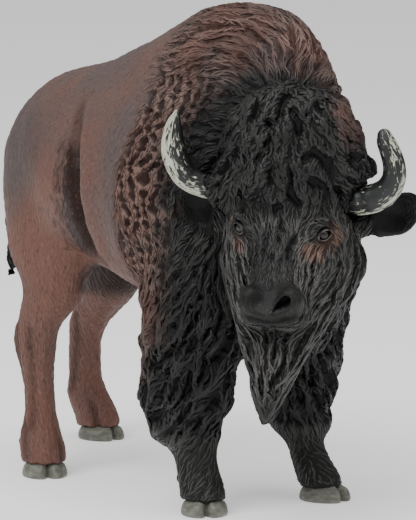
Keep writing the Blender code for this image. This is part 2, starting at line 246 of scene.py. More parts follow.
def ear_share(points):
    """1 on the short coat of the ears."""
    forward, left, up = head_coordinates(points)
    beside = smooth(np.abs(left), 1.42, 1.52) * band(up, -2.0, -1.85, -0.92, -0.82)
    return beside * band(forward, -0.2, -0.1, 0.45, 0.6)


def tuft_share(points):
    """1 on the tail's tuft."""
    x, y, z = body_coordinates(points)
    height = band(z, TUFT_END, TUFT_END + 0.1, TUFT_TOP - 0.2, TUFT_TOP)
    return smooth(y, 4.9, 5.0) * height * fade(x, -0.15, -0.05)


def behind_cape(points):
    """How far behind the cape's rear edge points lie, in centimetres."""
    _, y, z = body_coordinates(points)
    return y - looked_up(CAPE_EDGE, z)


def wool_share(points, head):
    """1 where long wool covers the skin, 0 where the coat is short."""
    z = body_coordinates(points)[2]
    cape = smooth(-behind_cape(points), -0.1, 0.12) * smooth(z, CHAP_END - 0.08, CHAP_END + 0.12)
    bare = muzzle_share(points) + ear_share(points) * head + smooth(0.18 - eye_distance(points), 0, 0.04)
    return np.maximum(cape * (1 - np.clip(bare, 0, 1)), tuft_share(points))


def black_share(points, head, ragged):
    """1 where the black paint lies and 0 on the brown; ragged noise breaks its edge."""
    x, y, z = body_coordinates(points)
    forward, left, up = head_coordinates(points)
    from_crown = np.sqrt((forward - 0.9) ** 2 + (left + 0.5) ** 2 + (up + 0.6) ** 2)
    mane = smooth(2.15 + 0.3 * ragged - from_crown, -0.45, 0.35)
    chest = smooth(looked_up(BLACK_EDGE, z) + 0.3 * ragged - y, -0.35, 0.3) * fade(z, 6.6, 7.6)
    inner = fade(np.abs(x), 0.7, 1.0) * fade(z, 3.1, 3.6) * fade(y, -1.2, -0.9)
    shins = fade(z, CHAP_END, CHAP_END + 0.2) * fade(y, -1.0, -0.8)
    # The brown of the hump shows beyond the crown, on the far side.
    beyond = smooth(left + 0.5 * up + 0.12 * ragged, 1.0, 1.25) * smooth(up, -0.2, 0.1)
    mane = np.maximum(mane, head) * (1 - beyond)
    return np.maximum.reduce((mane, chest, inner, shins, tuft_share(points)))


# Orange-brown paint round the eyes: forward, left and up, three half sizes, and strength.
EYE_PATCHES = (
    ((1.3, -0.8, -1.78), (0.5, 0.15, 0.24), 0.9),
    ((1.1, -0.95, -1.36), (0.4, 0.1, 0.16), 0.6),
    ((1.3, 0.6, -1.86), (0.6, 0.28, 0.26), 1.0),
    ((1.15, 0.86, -1.62), (0.5, 0.24, 0.3), 0.8),
)


def tan_share(points):
    """1 on the orange-brown paint round the eyes."""
    where = head_coordinates(points)
    share = sum(s * blob(where, centre, radii) ** 0.6 for centre, radii, s in EYE_PATCHES)
    return np.clip(share + 0.5 * noise_at(points, 1.1 * MM, 31.0) - 0.1, 0, 1) * (share > 0.02)


# Greyer and ruddier places of the brown coat, on both sides: aside, back and up, three half
# sizes in centimetres, and how grey.
GREY_PATCHES = (
    ((1.7, 4.0, 6.2), (1.7, 1.6, 1.9), 0.9),
    ((2.0, -1.5, 6.2), (1.2, 0.9, 2.4), 1.0),
    ((0.6, 0.8, 8.0), (1.3, 2.2, 0.9), 0.6),
    ((1.9, 0.0, 5.4), (0.9, 0.8, 2.0), -0.5),
    ((1.9, 1.6, 5.0), (1.3, 2.0, 1.4), -1.0),
    ((1.8, 2.8, 5.9), (1.1, 1.2, 1.4), 0.8),
)


def worn_share(points, head, black):
    """How much the wool's crests are dry-brushed: most on cape and cheeks, least on crown and chaps."""
    z = body_coordinates(points)[2]
    _, left, up = head_coordinates(points)
    face = fade(up, -1.8, -0.9) * (1 - 0.75 * bridge_share(points))
    beside_nose = blob((np.abs(left + 0.1), up), (0.62, -2.0), (0.3, 0.75))
    head_worn = np.clip(0.25 + 0.75 * face - 0.9 * ear_share(points), 0, 1) + 0.5 * beside_nose
    brown = 0.2 + 0.6 * smooth(z, 3.4, 5.0)
    worn_black = 0.14 + 0.22 * band(z, 4.2, 5.2, 5.8, 6.4) + 0.5 * fade(z, 1.2, 1.6)
    head_worn = np.maximum(head_worn * black, brown * (1 - black))
    return blended(blended(brown, worn_black, black), head_worn, head)


def grey_share(points):
    """How grey the brown paint of the body is: 0 on the ruddy legs, 1 at its greyest."""
    x, y, z = body_coordinates(points)
    zones = sum(s * blob((np.abs(x), y, z), centre, radii) ** 0.5 for centre, radii, s in GREY_PATCHES)
    cloud = noise_at(points, 7 * MM, 12.0) + 0.6 * noise_at(points, 2.5 * MM, 15.0)
    base = 0.15 + 0.35 * smooth(z, 3.6, 6.2)
    return np.clip(base + 0.6 * zones + 0.28 * cloud, 0, 1)


# ---- skin


def scene_object(name, data):
    obj = bpy.data.objects.new(name, data)
    bpy.context.scene.collection.objects.link(obj)
    return obj


def object_from(builder, name):
    """An object with the mesh that a bmesh holds; the bmesh is freed."""
    mesh = bpy.data.meshes.new(name)
    builder.to_mesh(mesh)
    builder.free()
    return scene_object(name, mesh)


def shade_smooth(mesh):
    mesh.polygons.foreach_set("use_smooth", np.ones(len(mesh.polygons), bool))


def apply_modifier(obj, kind, **settings):
    """Replaces the object's mesh by what one modifier makes of it."""
    modifier = obj.modifiers.new(kind.lower(), kind)
    for key, value in settings.items():
        setattr(modifier, key, value)
    graph = bpy.context.evaluated_depsgraph_get()
    made = bpy.data.meshes.new_from_object(obj.evaluated_get(graph))
    obj.modifiers.clear()
    obj.data = made


def vertex_array(mesh, attribute="co"):
    """The vertices' places ("co") or their normals ("vector")."""
    values = np.empty(len(mesh.vertices) * 3, np.float32)
    source = mesh.vertices if attribute == "co" else mesh.vertex_normals
    source.foreach_get(attribute, values)
    return values.reshape(-1, 3).astype(float)


def set_vertices(mesh, points):
    mesh.vertices.foreach_set("co", points.astype(np.float32).ravel())
    mesh.update()


def store(mesh, **values):
    """Keeps one number per vertex for the materials, under each of these names."""
    for name, numbers in values.items():
        layer = mesh.attributes.new(name, "FLOAT", "POINT")
        layer.data.foreach_set("value", np.asarray(numbers, np.float32))


def fused_skin():
    """The flesh nodes fused into one closed skin, with the cuts between them gone."""
    builder = bmesh.new()
    for node in FLESH:
        builder.from_mesh(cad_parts[node].data)
    bmesh.ops.remove_doubles(builder, verts=builder.verts, dist=1e-7)
    skin = object_from(builder, "skin")
    apply_modifier(skin, "DISPLACE", strength=SEAM_SWELL, mid_level=0)
    apply_modifier(skin, "REMESH", mode="VOXEL", voxel_size=SKIN_VOXEL)
    apply_modifier(skin, "SMOOTH", factor=0.5, iterations=10)
    return skin


COAT_DEPTH = {"wool": 0.42 * MM, "short": 0.02 * MM}
PIT_STEERING = 1.3  # how strongly locks turn towards higher ground: radians per unit of slope


def sculpt(points, normals, wool):
    """Moves the fused skin's points to the figurine's modelled forms."""
    depth = SEAM_SWELL * 0.9 + COAT_DEPTH["short"] + (COAT_DEPTH["wool"] - COAT_DEPTH["short"]) * wool
    points = points - normals * depth[:, None]
    points, deep = sculpt_muzzle(points)
    points = sculpt_eyes(points)
    points = sculpt_ears(points)
    points, wash = sculpt_body(points, normals)
    return points, np.maximum(wash, deep)


# Nostrils: how far aside and up from the poll, slant in radians, half length and half width.
NOSTRILS = {"left": (0.23, -2.7, 0.7, 0.2, 0.085), "right": (-0.6, -2.5, 1.3, 0.19, 0.075)}


def sculpt_muzzle(points):
    """Sinks the comma-shaped nostrils and the line of the mouth; also how deep in them points lie, with a
    patch of the pad, all later painted darker: painted shade in the nostrils and the mouth.
    """
    forward, left, up = head_coordinates(points)
    front = smooth(forward, 1.3, 1.6)
    depth, rim = np.zeros(len(points)), np.zeros(len(points))
    for aside, height, slant, half_length, half_width in NOSTRILS.values():
        side, rise = (left - aside) * math.copysign(1, aside), up - height
        along = side * math.cos(slant) + rise * math.sin(slant)
        across = rise * math.cos(slant) - side * math.sin(slant)
        width = half_width * (1 + 0.65 * np.clip(along / half_length, -1, 1))
        reach = np.hypot(along / half_length, across / width)
        depth = np.maximum(depth, fade(reach, 0.6, 1.05) * front)
        rim = np.maximum(rim, np.exp(-((reach - 1.3) ** 2) / 0.1) * front)
    points = moved(moved(points, -0.2 * depth, 0.95 * AHEAD - 0.2 * UP), 0.035 * rim, AHEAD)
    level = up - 0.45 * left**2
    mouth = np.exp(-(((level + 2.98) / 0.045) ** 2)) * fade(np.abs(left), 0.25, 0.6)
    mouth = mouth * smooth(forward, 1.2, 1.5)
    lips = np.exp(-(((level + 2.84) / 0.12) ** 2))
    push = 0.04 * lips * front - 0.07 * mouth
    pad = 0.6 * blob((left, up), (-0.15, -2.62), (0.4, 0.32)) * front
    # The nostrils' depth and the mouth line give painted shade; the pad's patch is darker paint.
    return moved(points, push, AHEAD), np.maximum.reduce((depth, 0.8 * mouth, pad))


# An eye's socket: distance from the eye's axis, and how far out the skin lies there.
SOCKET = ((0, -0.05), (0.1, -0.03), (0.14, 0.06), (0.2, 0.09), (0.26, 0.1))


def sculpt_eyes(points):
    """Opens a socket behind each eye's lids, under a brow and above a fold."""
    for side in EYE_CENTRES:
        gaze = eye_axes(side)[0]
        along, across, out = eye_coordinates(points, side)
        reach = np.hypot(along, across)
        wanted = looked_up(SOCKET, reach)
        near = fade(reach, 0.18, 0.3) * smooth(out, -0.25, -0.12)
        brow = 0.05 * blob((along, across), (0, 0.3), (0.42, 0.18)) * (out > 0)
        points = moved(points, near * (wanted - out) + brow, gaze)
    return points


# Where the ears are drawn out: side, then how far aside, below their tops and above their bottoms,
# each from none to full, and the way leftwards and upwards.
EAR_PULLS = (
    (-1, (1.5, 2.15), (-0.7, -0.8), (-2.1, -1.9), (-0.2, 0.2)),
    (1, (1.75, 2.2), (-0.6, -0.7), (-1.8, -1.4), (0.09, 0.12)),
    (1, (1.6, 2.1), (-1.2, -1.5), (-2.1, -1.9), (0.03, -0.07)),
)


def sculpt_ears(points):
    """Draws the ears out and hollows the front of each into a scoop."""
    forward, left, up = head_coordinates(points)
    beside = band(forward, -0.3, -0.2, 0.6, 0.75)
    for side, aside, top, bottom, (leftwards, upwards) in EAR_PULLS:
        share = smooth(side * left, *aside) * smooth(up, *top) * smooth(up, *bottom) * beside
        points = moved(points, share, leftwards * ASIDE + upwards * UP)
    forward, left, up = head_coordinates(points)
    hollow = blob((np.abs(left), up), (1.8, -1.3), (0.42, 0.34)) ** 0.6 * smooth(forward, 0.1, 0.2)
    hollow = hollow * fade(forward, 0.4, 0.5) * smooth(np.abs(left), 1.4, 1.5)
    return moved(points, -0.2 * hollow, AHEAD)


def stroke(points, start, end, width):
    """1 along the segment between two points, in centimetres, and 0 a width away from it."""
    start, end = np.array(start), np.array(end)
    offset = body_coordinates(points).T - start
    along = np.clip(offset @ (end - start) / np.sum((end - start) ** 2), 0, 1)
    distance = np.linalg.norm(offset - along[:, None] * (end - start), axis=1)
    return np.exp(-((distance / width) ** 2))


# The fold where the thigh meets the flank: height and y, in centimetres.
THIGH_FOLD = ((4.1, -0.5), (4.78, -0.42), (5.27, -0.3), (6.1, -0.02), (6.85, 0.5), (7.6, 1.0))
# Modelled forms of both sides: start, end, width and height of the stroke, in centimetres.
BODY_STROKES = (
    ((1.0, 2.3, 7.3), (1.3, 2.8, 6.9), 0.3, 0.03),
    ((1.5, 3.3, 6.6), (1.55, 3.0, 5.2), 0.35, -0.05),
    ((1.45, 1.6, 6.3), (1.85, 1.2, 5.0), 0.5, 0.04),
    ((2.1, -1.2, 6.6), (2.15, -1.0, 4.6), 0.2, -0.02),
)
# Forms of single legs: as above.
LEG_STROKES = (
    ((-1.95, 2.55, 2.9), (-1.9, 2.35, 1.0), 0.11, -0.07),
    ((-1.9, 2.05, 2.8), (-1.88, 2.0, 1.0), 0.1, -0.04),
    ((-1.62, 2.85, 3.0), (-1.6, 2.62, 1.2), 0.12, 0.05),
    ((-1.9, 2.2, 0.95), (-2.0, 2.05, 0.45), 0.1, -0.05),
    ((-1.45, 1.66, 0.95), (-1.42, 1.6, 0.3), 0.07, -0.06),
    ((1.85, 5.3, 2.7), (1.84, 5.6, 1.0), 0.11, -0.05),
    ((1.2, 5.2, 2.5), (1.28, 5.45, 1.0), 0.1, -0.06),
    ((1.05, 5.1, 2.4), (1.1, 5.3, 0.9), 0.1, 0.04),
    ((1.3, 5.0, 1.0), (1.35, 4.72, 0.25), 0.08, -0.07),
    ((-1.7, -2.95, 1.0), (-1.72, -3.0, 0.5), 0.1, -0.035),
    ((-1.2, -3.2, 1.1), (-1.2, -3.35, 0.5), 0.08, -0.03),
    ((1.62, -2.7, 1.0), (1.68, -2.95, 0.5), 0.1, -0.035),
)
# Places that are pushed a little: centre, half sizes and the way, in centimetres.
NUDGES = (
    ((-1.8, 3.4, 5.4), (1.3, 1.9, 1.5), (0.17, -0.08, 0)),
    ((-1.2, 3.6, 6.7), (0.9, 1.4, 0.6), (-0.05, 0.03, 0)),
    ((0, -0.3, 8.7), (1.6, 1.8, 0.9), (0, 0, -0.09)),
    ((-0.9, 0.6, 8.6), (0.8, 1.0, 0.5), (0.02, 0, -0.05)),
    ((-0.6, 5.1, 4.1), (0.6, 0.9, 0.7), (0.11, -0.13, 0)),
    ((-1.3, 3.9, 6.3), (1.0, 1.3, 1.2), (0.03, -0.03, -0.01)),
    ((-1.2, 1.3, 3.35), (0.9, 1.0, 0.6), (0.08, -0.2, 0)),
    ((-1.8, 3.1, 3.4), (0.8, 0.9, 0.8), (0.04, -0.12, 0)),
    ((-1.3, 0.4, 4.1), (0.9, 1.4, 0.5), (0, 0, 0.1)),
    ((-2.0, -1.6, 3.5), (0.8, 1.2, 0.9), (0.12, 0, 0)),
    ((-1.9, -2.1, 2.1), (0.8, 1.2, 0.9), (-0.08, 0, 0)),
    ((2.4, -2.6, 3.0), (1.0, 1.4, 0.6), (-0.14, 0, 0)),
    (tuple(body_coordinates(in_head(0.75, 1.15, -2.25))), (0.7, 0.7, 0.8), (0.2, -0.06, 0)),
    ((1.3, -4.1, 4.15), (0.8, 0.9, 0.7), (0.14, -0.04, 0)),
    (tuple(body_coordinates(in_head(0.5, 1.3, -0.75))), (0.42, 0.42, 0.36), (0.1, 0.05, 0.14)),
    ((2.2, -3.2, 4.6), (1.2, 1.6, 1.2), (0.16, 0, 0)),
    ((1.1, 5.3, 1.6), (0.7, 0.9, 1.4), (-0.08, 0.0, 0)),
    ((0.95, -3.1, 0.85), (0.5, 0.8, 0.7), (-0.08, 0, 0)),
)
SHEATH = ((0.25, 1.4, 3.7), (0.34, 0.8, 0.5), 0.25)


def thigh_fold(points):
    """Where the thigh folds against the flank, and how far behind the fold's line points lie."""
    x, y, z = body_coordinates(points)
    fold = band(z, 4.2, 4.6, 6.2, 7.5) * smooth(np.abs(x), 1.0, 1.4)
    return fold, y - looked_up(THIGH_FOLD, z)


# How broad the dark wash behind the fold is, by height, in centimetres; the wash is partly painted shade.
FOLD_BREADTH = ((4.2, 1.3), (5.2, 1.2), (6.3, 0.82), (6.9, 0.5))


def body_wash(points, normals):
    """Dark wash behind the thigh's fold, partly painted shade there, and painted shade on the flank's
    hollow, between the thighs and under the belly, 0 to 1.
    """
    x, y, z = body_coordinates(points)
    fold, behind = thigh_fold(points)
    broad = looked_up(FOLD_BREADTH, z)
    ragged = 1 + 0.35 * noise_at(points, 1.6 * MM, 33.0)
    speckled = np.clip(0.55 + 0.8 * noise_at(points, 0.55 * MM, 35.0, 2.5), 0, 1)
    # The fold's wash, brushed and speckled, is partly the toy's paint and partly painted shade in the fold.
    core = smooth((0.65 + 0.35 * speckled) * broad - behind, 0, 0.2)
    brushed = np.maximum(core, 0.9 * speckled * smooth(1.25 * broad * ragged - behind, 0, 0.35))
    behind_fold = fold * smooth(behind, -0.05, 0.06) * brushed * fade(z, 6.3, 7.0)
    # Painted shade on the flank's hollow.
    flank = 0.27 * blob((np.abs(x), y, z), (1.8, 2.6, 5.8), (1.1, 1.4, 1.5))
    # Painted shade between the thighs and under the belly, on skin that faces inwards and on skin that faces
    # down.
    inward = np.maximum(smooth(-normals[:, 0] * np.sign(x), 0.1, 0.5), smooth(-normals[:, 2], 0.2, 0.6))
    between = band(z, 2.85, 3.25, 4.2, 4.7) * smooth(y, 0.3, 0.8)
    between = inward * (between * fade(y, 4.8, 5.2)) * smooth(x, -1.3, -0.9)
    # Painted shade under the belly, where the skin faces forwards.
    belly = blob((x, y, z), (-0.9, 1.3, 3.75), (0.5, 0.6, 0.45)) ** 0.5 * smooth(-normals[:, 1], 0.5, 0.8)
    return np.maximum.reduce((behind_fold, flank, between, belly))


def sculpt_body(points, normals):
    """The thigh's fold, hip bones, tendons, dewclaws and sheath; also where grooves hold a dark wash that is
    partly painted shade, with the body's painted shade.
    """
    x, y, z = body_coordinates(points)
    fold, behind = thigh_fold(points)
    push = 0.07 * fold * np.exp(-(((behind + 0.28) / 0.24) ** 2))
    push -= 0.17 * fold * np.exp(-(((behind - 0.16) / 0.19) ** 2))
    for start, end, width, height in LEG_STROKES:
        push += height * stroke(points, start, end, width)
    # Sunk grooves take the dark wash, which is partly painted shade in them.
    wash = np.maximum(np.clip(-push / 0.07, 0, 0.45), body_wash(points, normals))
    for start, end, width, height in BODY_STROKES:
        for side in (-1, 1):
            ends = np.multiply((start, end), (side, 1, 1))
            push += height * stroke(points, *ends, width)
    for name in HOOVES:
        foot = body_coordinates(centre_of(f"{name}_hoof"))
        for aside in (-0.15, 0.15):
            push += 0.12 * blob((x, y, z), (foot[0] + aside, foot[1] + 0.42, 0.62), (0.13, 0.2, 0.14))
    centre, radii, height = SHEATH
    push += height * blob((x, y, z), centre, radii)
    for centre, radii, way in NUDGES:
        points = moved(points, blob((x, y, z), centre, radii), np.array(way))
    points = moved(points, push, normals)
    # The hair of the feet hangs over the hooves' rims, in an uneven hem.
    hem = fade(z, 0.32, 0.44)
    drop = hem * (0.05 + 0.035 * noise_at(points * (1, 1, 0), 1.5 * MM, 4.0))
    return moved(moved(points, -drop, UP), 0.012 * hem, normals * (1, 1, 0)), wash


def at_ends(edges, to_first, to_second, count):
    """What the edges bring to each of so many points, in all; None counts the edges themselves."""
    first, second = edges.T
    return np.bincount(first, to_first, count) + np.bincount(second, to_second, count)


def blurred(values, edges, times):
    """Values averaged with their neighbours' along the surface."""
    first, second = edges.T
    count = len(values)
    share = at_ends(edges, None, None, count)
    values = values.reshape(count, -1).astype(float)
    for _ in range(times):
        for column in values.T:
            total = at_ends(edges, column[second], column[first], count)
            column += 0.6 * (total / share - column)
    return values.squeeze()


EASING_ROUNDS = 150


def eased(points, edges):
    """Points with the steps where thighs, rump and flanks meet smoothed away."""
    _, y, z = body_coordinates(points)
    share = smooth(y, 0.6, 1.4) * band(z, 4.2, 5.0, 7.4, 7.9)
    return points + share[:, None] * (blurred(points, edges, EASING_ROUNDS) - points)


class Surface:
    """The skin's points, normals and neighbours, what is painted on them and how the coat lies."""

    def __init__(self, mesh, edges):
        self.edges = edges
        self.faces = [tuple(p.vertices) for p in mesh.polygons]
        self.corner = np.array([face[0] for face in self.faces])
        self.place(mesh)
        self.area = sum(p.area for p in mesh.polygons) / len(self.points)
        self.head = head_share(self.points)
        self.wool = wool_share(self.points, self.head)
        self.flow = flow(self)
        self.barred = None  # from 0 to 1 where no lock may lie, once the styles are known
        self.paint = {
            "wool": self.wool,
            "black": black_share(self.points, self.head, noise_at(self.points, 2.5 * MM)),
            "tan": tan_share(self.points) * self.head,
            "grey": grey_share(self.points),
        }
        self.paint["worn"] = worn_share(self.points, self.head, self.paint["black"])

    def place(self, mesh):
        """Takes over where the mesh's points lie."""
        self.points = vertex_array(mesh)
        self.normals = vertex_array(mesh, "vector")
        self.tree = BVHTree.FromPolygons([Vector(p) for p in self.points], self.faces)

    def slope_across(self, values):
        """How fast values grow towards the left of the coat's lie, per metre."""
        first, second = self.edges.T
        count = len(self.points)
        step = self.points[second] - self.points[first]
        rise = (values[second] - values[first]) / np.sum(step**2, axis=1)
        share = at_ends(self.edges, None, None, count)
        sideways = np.cross(self.normals, self.flow)
        total = np.zeros(count)
        for k in range(3):
            pull = rise * step[:, k]
            total += 2 * at_ends(self.edges, pull, pull, count) / share * sideways[:, k]
        return total


def drawn_noise(points, directions, size, reach, seed):
    """Noise with a spread of 1, drawn out along the lie of the coat."""
    steps = np.linspace(-1, 1, 7)
    total = sum(noise_at(points + step * reach * directions, size, seed) for step in steps)
    return total / np.std(total)


def net_share(points):
    """1 on the netted band along the cape's rear edge."""
    z = body_coordinates(points)[2]
    return smooth(behind_cape(points), -1.8, -1.2) * band(z, 3.4, 4.6, 7.6, 8.4)


def ladder(points, behind, z):
    """Rows and columns of pits at the cape's rear edge: from 1 on the strands to -1 in the pits."""
    column = behind / 0.24 + 0.8 * noise_at(points, 5 * MM, 21.0) + 0.2 * noise_at(points, 1.5 * MM, 23.0)
    row = z / 0.21 + 0.37 * np.floor(column) + 0.6 * noise_at(points, 2.5 * MM, 25.0)
    grid = 0.58 * np.cos(2 * math.pi * column) + 0.42 * np.cos(2 * math.pi * row)
    return grid + 0.3 * noise_at(points, 1.6 * MM, 27.0)


def wool_relief(surface):
    """How far the wool's masses rise or sink, in millimetres; their pits and the net's strands, 0 to 1."""
    woolly = np.flatnonzero(surface.wool > 0.01)
    points, directions = surface.points[woolly], surface.flow[woolly]
    forward, left, up = head_coordinates(points)
    z = body_coordinates(points)[2]
    head = surface.head[woolly]
    crown = head * smooth(up, -1.9, -1.1) * fade(np.abs(left), 1.5, 1.9)
    face = head * (1 - crown)
    chap = (1 - head) * fade(z, 3.7, 4.9)
    net = net_share(points) * (1 - head)
    rest = 1 - np.maximum(net, 0.5 * crown)
    lumps = drawn_noise(points, directions, 2.6 * MM, 1.5 * MM, 2.0)
    broad = drawn_noise(points, directions, 1.8 * MM, 1.2 * MM, 6.0)
    large = drawn_noise(points, directions, 1.05 * MM, 1.7 * MM, 6.0)
    small = drawn_noise(points, directions, 0.75 * MM, 1.0 * MM, 9.0)
    calm = smooth(0.7 - np.hypot(forward - 2.1, up + 2.4), 0, 0.3) * fade(np.abs(left), 0.6, 0.9)
    deep = fade(large, -1.2, -0.55) * (0.7 * face + chap + 0.4 * (1 - head))
    deep = np.maximum(fade(broad, -1.25, -0.65) * crown**2, deep)
    deep = np.clip(deep, 0, 1) * (1 - net) * (1 - calm) * smooth(eye_distance(points), 0.35, 0.6)
    fine = fade(small, -1.3, -0.6) * (0.3 + 0.4 * face + 0.3 * chap) * rest
    fine = fine * (1 - 0.6 * bridge_share(points))
    patchy = 0.85 + 0.5 * noise_at(points, 5 * MM, 29.0)
    holes = smooth(-ladder(points, behind_cape(points), z), -0.05, 0.35) * net * np.clip(patchy, 0.5, 1)
    height = (0.25 * crown + 0.2 * chap + 0.06) * lumps + 0.05 * large
    height = height - 0.9 * deep - 0.3 * fine - 0.6 * holes
    hollow = np.clip(deep * (1 - 0.35 * crown) + 0.8 * fine + holes, 0, 1)
    found = []
    for values in (height, hollow, (1 - hollow) * net):
        full = np.zeros(len(surface.points))
        full[woolly] = values * surface.wool[woolly]
        found.append(full)
    return found


def make_skin():
    skin = fused_skin()
    mesh = skin.data
    edges = np.array([e.vertices for e in mesh.edges])
    set_vertices(mesh, eased(vertex_array(mesh), edges))
    points, normals = vertex_array(mesh), vertex_array(mesh, "vector")
    points, wash = sculpt(points, normals, wool_share(points, head_share(points)))
    set_vertices(mesh, points)
    shade_smooth(mesh)
    surface = Surface(mesh, edges)
    height, hollow, crest = wool_relief(surface)
    set_vertices(mesh, surface.points + height[:, None] * MM * surface.normals)
    # The pits and the dark wash darken the paint: painted shade, and in the grooves partly the toy's own
    # wash.
    surface.paint.update(hollow=hollow, wash=wash)
    # The locks lie along the ridges, round the pits.
    lean = np.clip(PIT_STEERING * MM * surface.slope_across(blurred(height, edges, 2)), -0.8, 0.8)
    surface.flow = turned(surface.flow, surface.normals, lean)
    surface.place(mesh)
    store(mesh, **surface.paint, crest=crest)
    return skin, surface


# ---- locks of wool


def along_skin(vectors, normals):
    return unit(vectors - np.sum(vectors * normals, axis=1, keepdims=True) * normals)


# How much the cape's wool runs backwards for each unit that it runs down, by height: at its
# front and at its rear edge.
BACKWARD_FRONT = ((3.6, 0.6), (5.0, 0.9), (6.8, 0.9), (8.2, 1.6), (9.0, 2.6))
BACKWARD_REAR = ((4.6, -0.15), (5.4, 0.0), (6.2, 0.18), (6.9, 0.45), (7.5, 0.95), (8.2, 1.7), (9.0, 2.4))


def crown_distance(points):
    """Distance from the middle of the crown, in centimetres."""
    return np.linalg.norm(points - in_head(0.3, 0, 0.2), axis=1) / CM


def cape_flow(points, normals):
    """The lie of the coat on the neck, cape, legs and body, before smoothing."""
    x, y, z = body_coordinates(points)
    rear = smooth(behind_cape(points), -2.2, -0.4)
    back = blended(looked_up(BACKWARD_FRONT, z), looked_up(BACKWARD_REAR, z), rear)
    lie = np.stack([0 * back, back, 0 * back - 1], axis=1)
    lie = blended(lie, np.array([0, 1.0, -0.2]), smooth(normals[:, 2], 0.35, 0.95)[:, None])
    front_leg = fade(z, 3.2, 4.4) * fade(y, -0.3, 0.3)
    outwards = np.stack([0.6 * np.tanh(x / 0.5), 0 * x + 0.45, 0 * x - 1], axis=1)
    lie = blended(lie, outwards, front_leg[:, None])
    flank = band(y, -1.4, -0.4, 0.8, 2.4) * smooth(z, 3.6, 4.6)
    lie = blended(lie, np.array([0, 0.9, -0.5]), flank[:, None])
    # Behind the crown the mane fans out from it.
    near = smooth(2.9 - crown_distance(points), 0, 1.6) * smooth(z, 5.4, 6.6)
    return blended(lie, unit(points - in_head(0.3, 0, 0.4)), near[:, None])


def face_flow(points):
    """The lie of the hair on the head, before smoothing."""
    _, left, up = head_coordinates(points)
    crown = smooth(up, -1.3, -0.7)
    temple = band(up, -2.1, -1.7, -1.4, -1.0)
    jaw = fade(up, -2.4, -1.9) * smooth(np.abs(left), 0.3, 0.9)
    spread = 0.75 * crown - 0.35 * temple - 0.8 * jaw
    lie = 0.5 * AHEAD - 0.85 * UP + (left * spread)[:, None] * ASIDE
    lie -= (smooth(np.abs(left), 0.8, 1.2) * 0.6)[:, None] * AHEAD
    for side in EYE_CENTRES:
        _, level, tall = eye_axes(side)
        along, across, out = eye_coordinates(points, side)
        apart = smooth(0.5 - np.hypot(along, across), 0, 0.25) * (out > -0.2)
        away = unit(along[:, None] * level + across[:, None] * tall)
        lie = lie + (1.3 * apart)[:, None] * away
    return lie


FLOW_ROUNDS = 12


def flow(surface):
    """The way that the coat lies at each point of the skin."""
    points, normals = surface.points, surface.normals
    field = blended(cape_flow(points, normals), face_flow(points), surface.head[:, None])
    field = along_skin(blurred(along_skin(field, normals), surface.edges, FLOW_ROUNDS), normals)
    swirl = 0.45 * noise_at(points, 4.2 * MM, 5.0) + 0.3 * noise_at(points, 1.9 * MM, 9.0)
    return turned(field, normals, swirl * (1 - 0.4 * surface.head))


def turned(directions, normals, angles):
    """Directions turned about their normals."""
    sideways = np.cross(normals, directions)
    return directions * np.cos(angles)[:, None] + sideways * np.sin(angles)[:, None]


# Each style: lock length, width and thickness, how high its tip stands and its body sits
# (in millimetres), how much its course swings and curls (in degrees), how many times it
# curls, how sparsely the locks stand, and how much they gather into tufts.
STYLES = {
    "hump": (4.0, 0.46, 0.26, 0.0, 0.05, 6, 16, 1.0, 0.34, 0.4),
    "cape": (3.0, 0.52, 0.34, 0.0, 0.08, 6, 14, 1.0, 0.3, 0.2),
    "net": (2.4, 0.42, 0.24, 0.0, 0.05, 8, 10, 1.0, 0.6, 0.1),
    "mane": (4.6, 0.5, 0.28, 0.0, 0.07, 7, 12, 1.0, 0.3, 0.45),
    "chaps": (4.6, 0.7, 0.36, 0.08, 0.12, 7, 10, 0.9, 0.25, 0.6),
    "crown": (2.2, 0.8, 0.34, 0.03, 0.1, 18, 24, 0.8, 0.27, 0.5),
    "face": (2.8, 0.44, 0.22, 0.0, 0.05, 6, 8, 1.0, 0.28, 0.5),
    "bridge": (1.6, 0.4, 0.13, 0.0, 0.0, 8, 10, 0.8, 0.4, 0.3),
    "cheeks": (4.0, 0.46, 0.28, 0.03, 0.08, 6, 8, 1.0, 0.27, 0.5),
    "beard": (7.0, 0.5, 0.36, 0.1, 0.14, 4, 8, 1.3, 0.24, 0.6),
    "tail_tuft": (4.5, 0.55, 0.35, 0.05, 0.1, 4, 10, 1.0, 0.3, 0.6),
    "shin": (2.6, 0.45, 0.24, 0.0, 0.04, 8, 12, 0.8, 0.6, 0.5),
    "ear": (2.2, 0.4, 0.2, 0.0, 0.03, 8, 10, 0.8, 0.6, 0.5),
    "leg": (2.0, 0.5, 0.2, 0.0, 0.0, 9, 8, 0.8, 1.3, 0.4),
    "nap": (2.2, 0.5, 0.16, 0.0, 0.0, 8, 8, 0.8, 2.6, 0.3),
}
LOCK_RINGS = 7
# Across a lock, from its crest round: sideways, upwards, and how much of the crest's paint it takes; where
# it takes little, the lock gets painted shade.
LOCK_PROFILE = ((0, 1, 1), (0.7, 0.45, 0.45), (1, -0.5, 0), (-1, -0.5, 0), (-0.7, 0.45, 0.45))
LOCK_SIDES = len(LOCK_PROFILE)


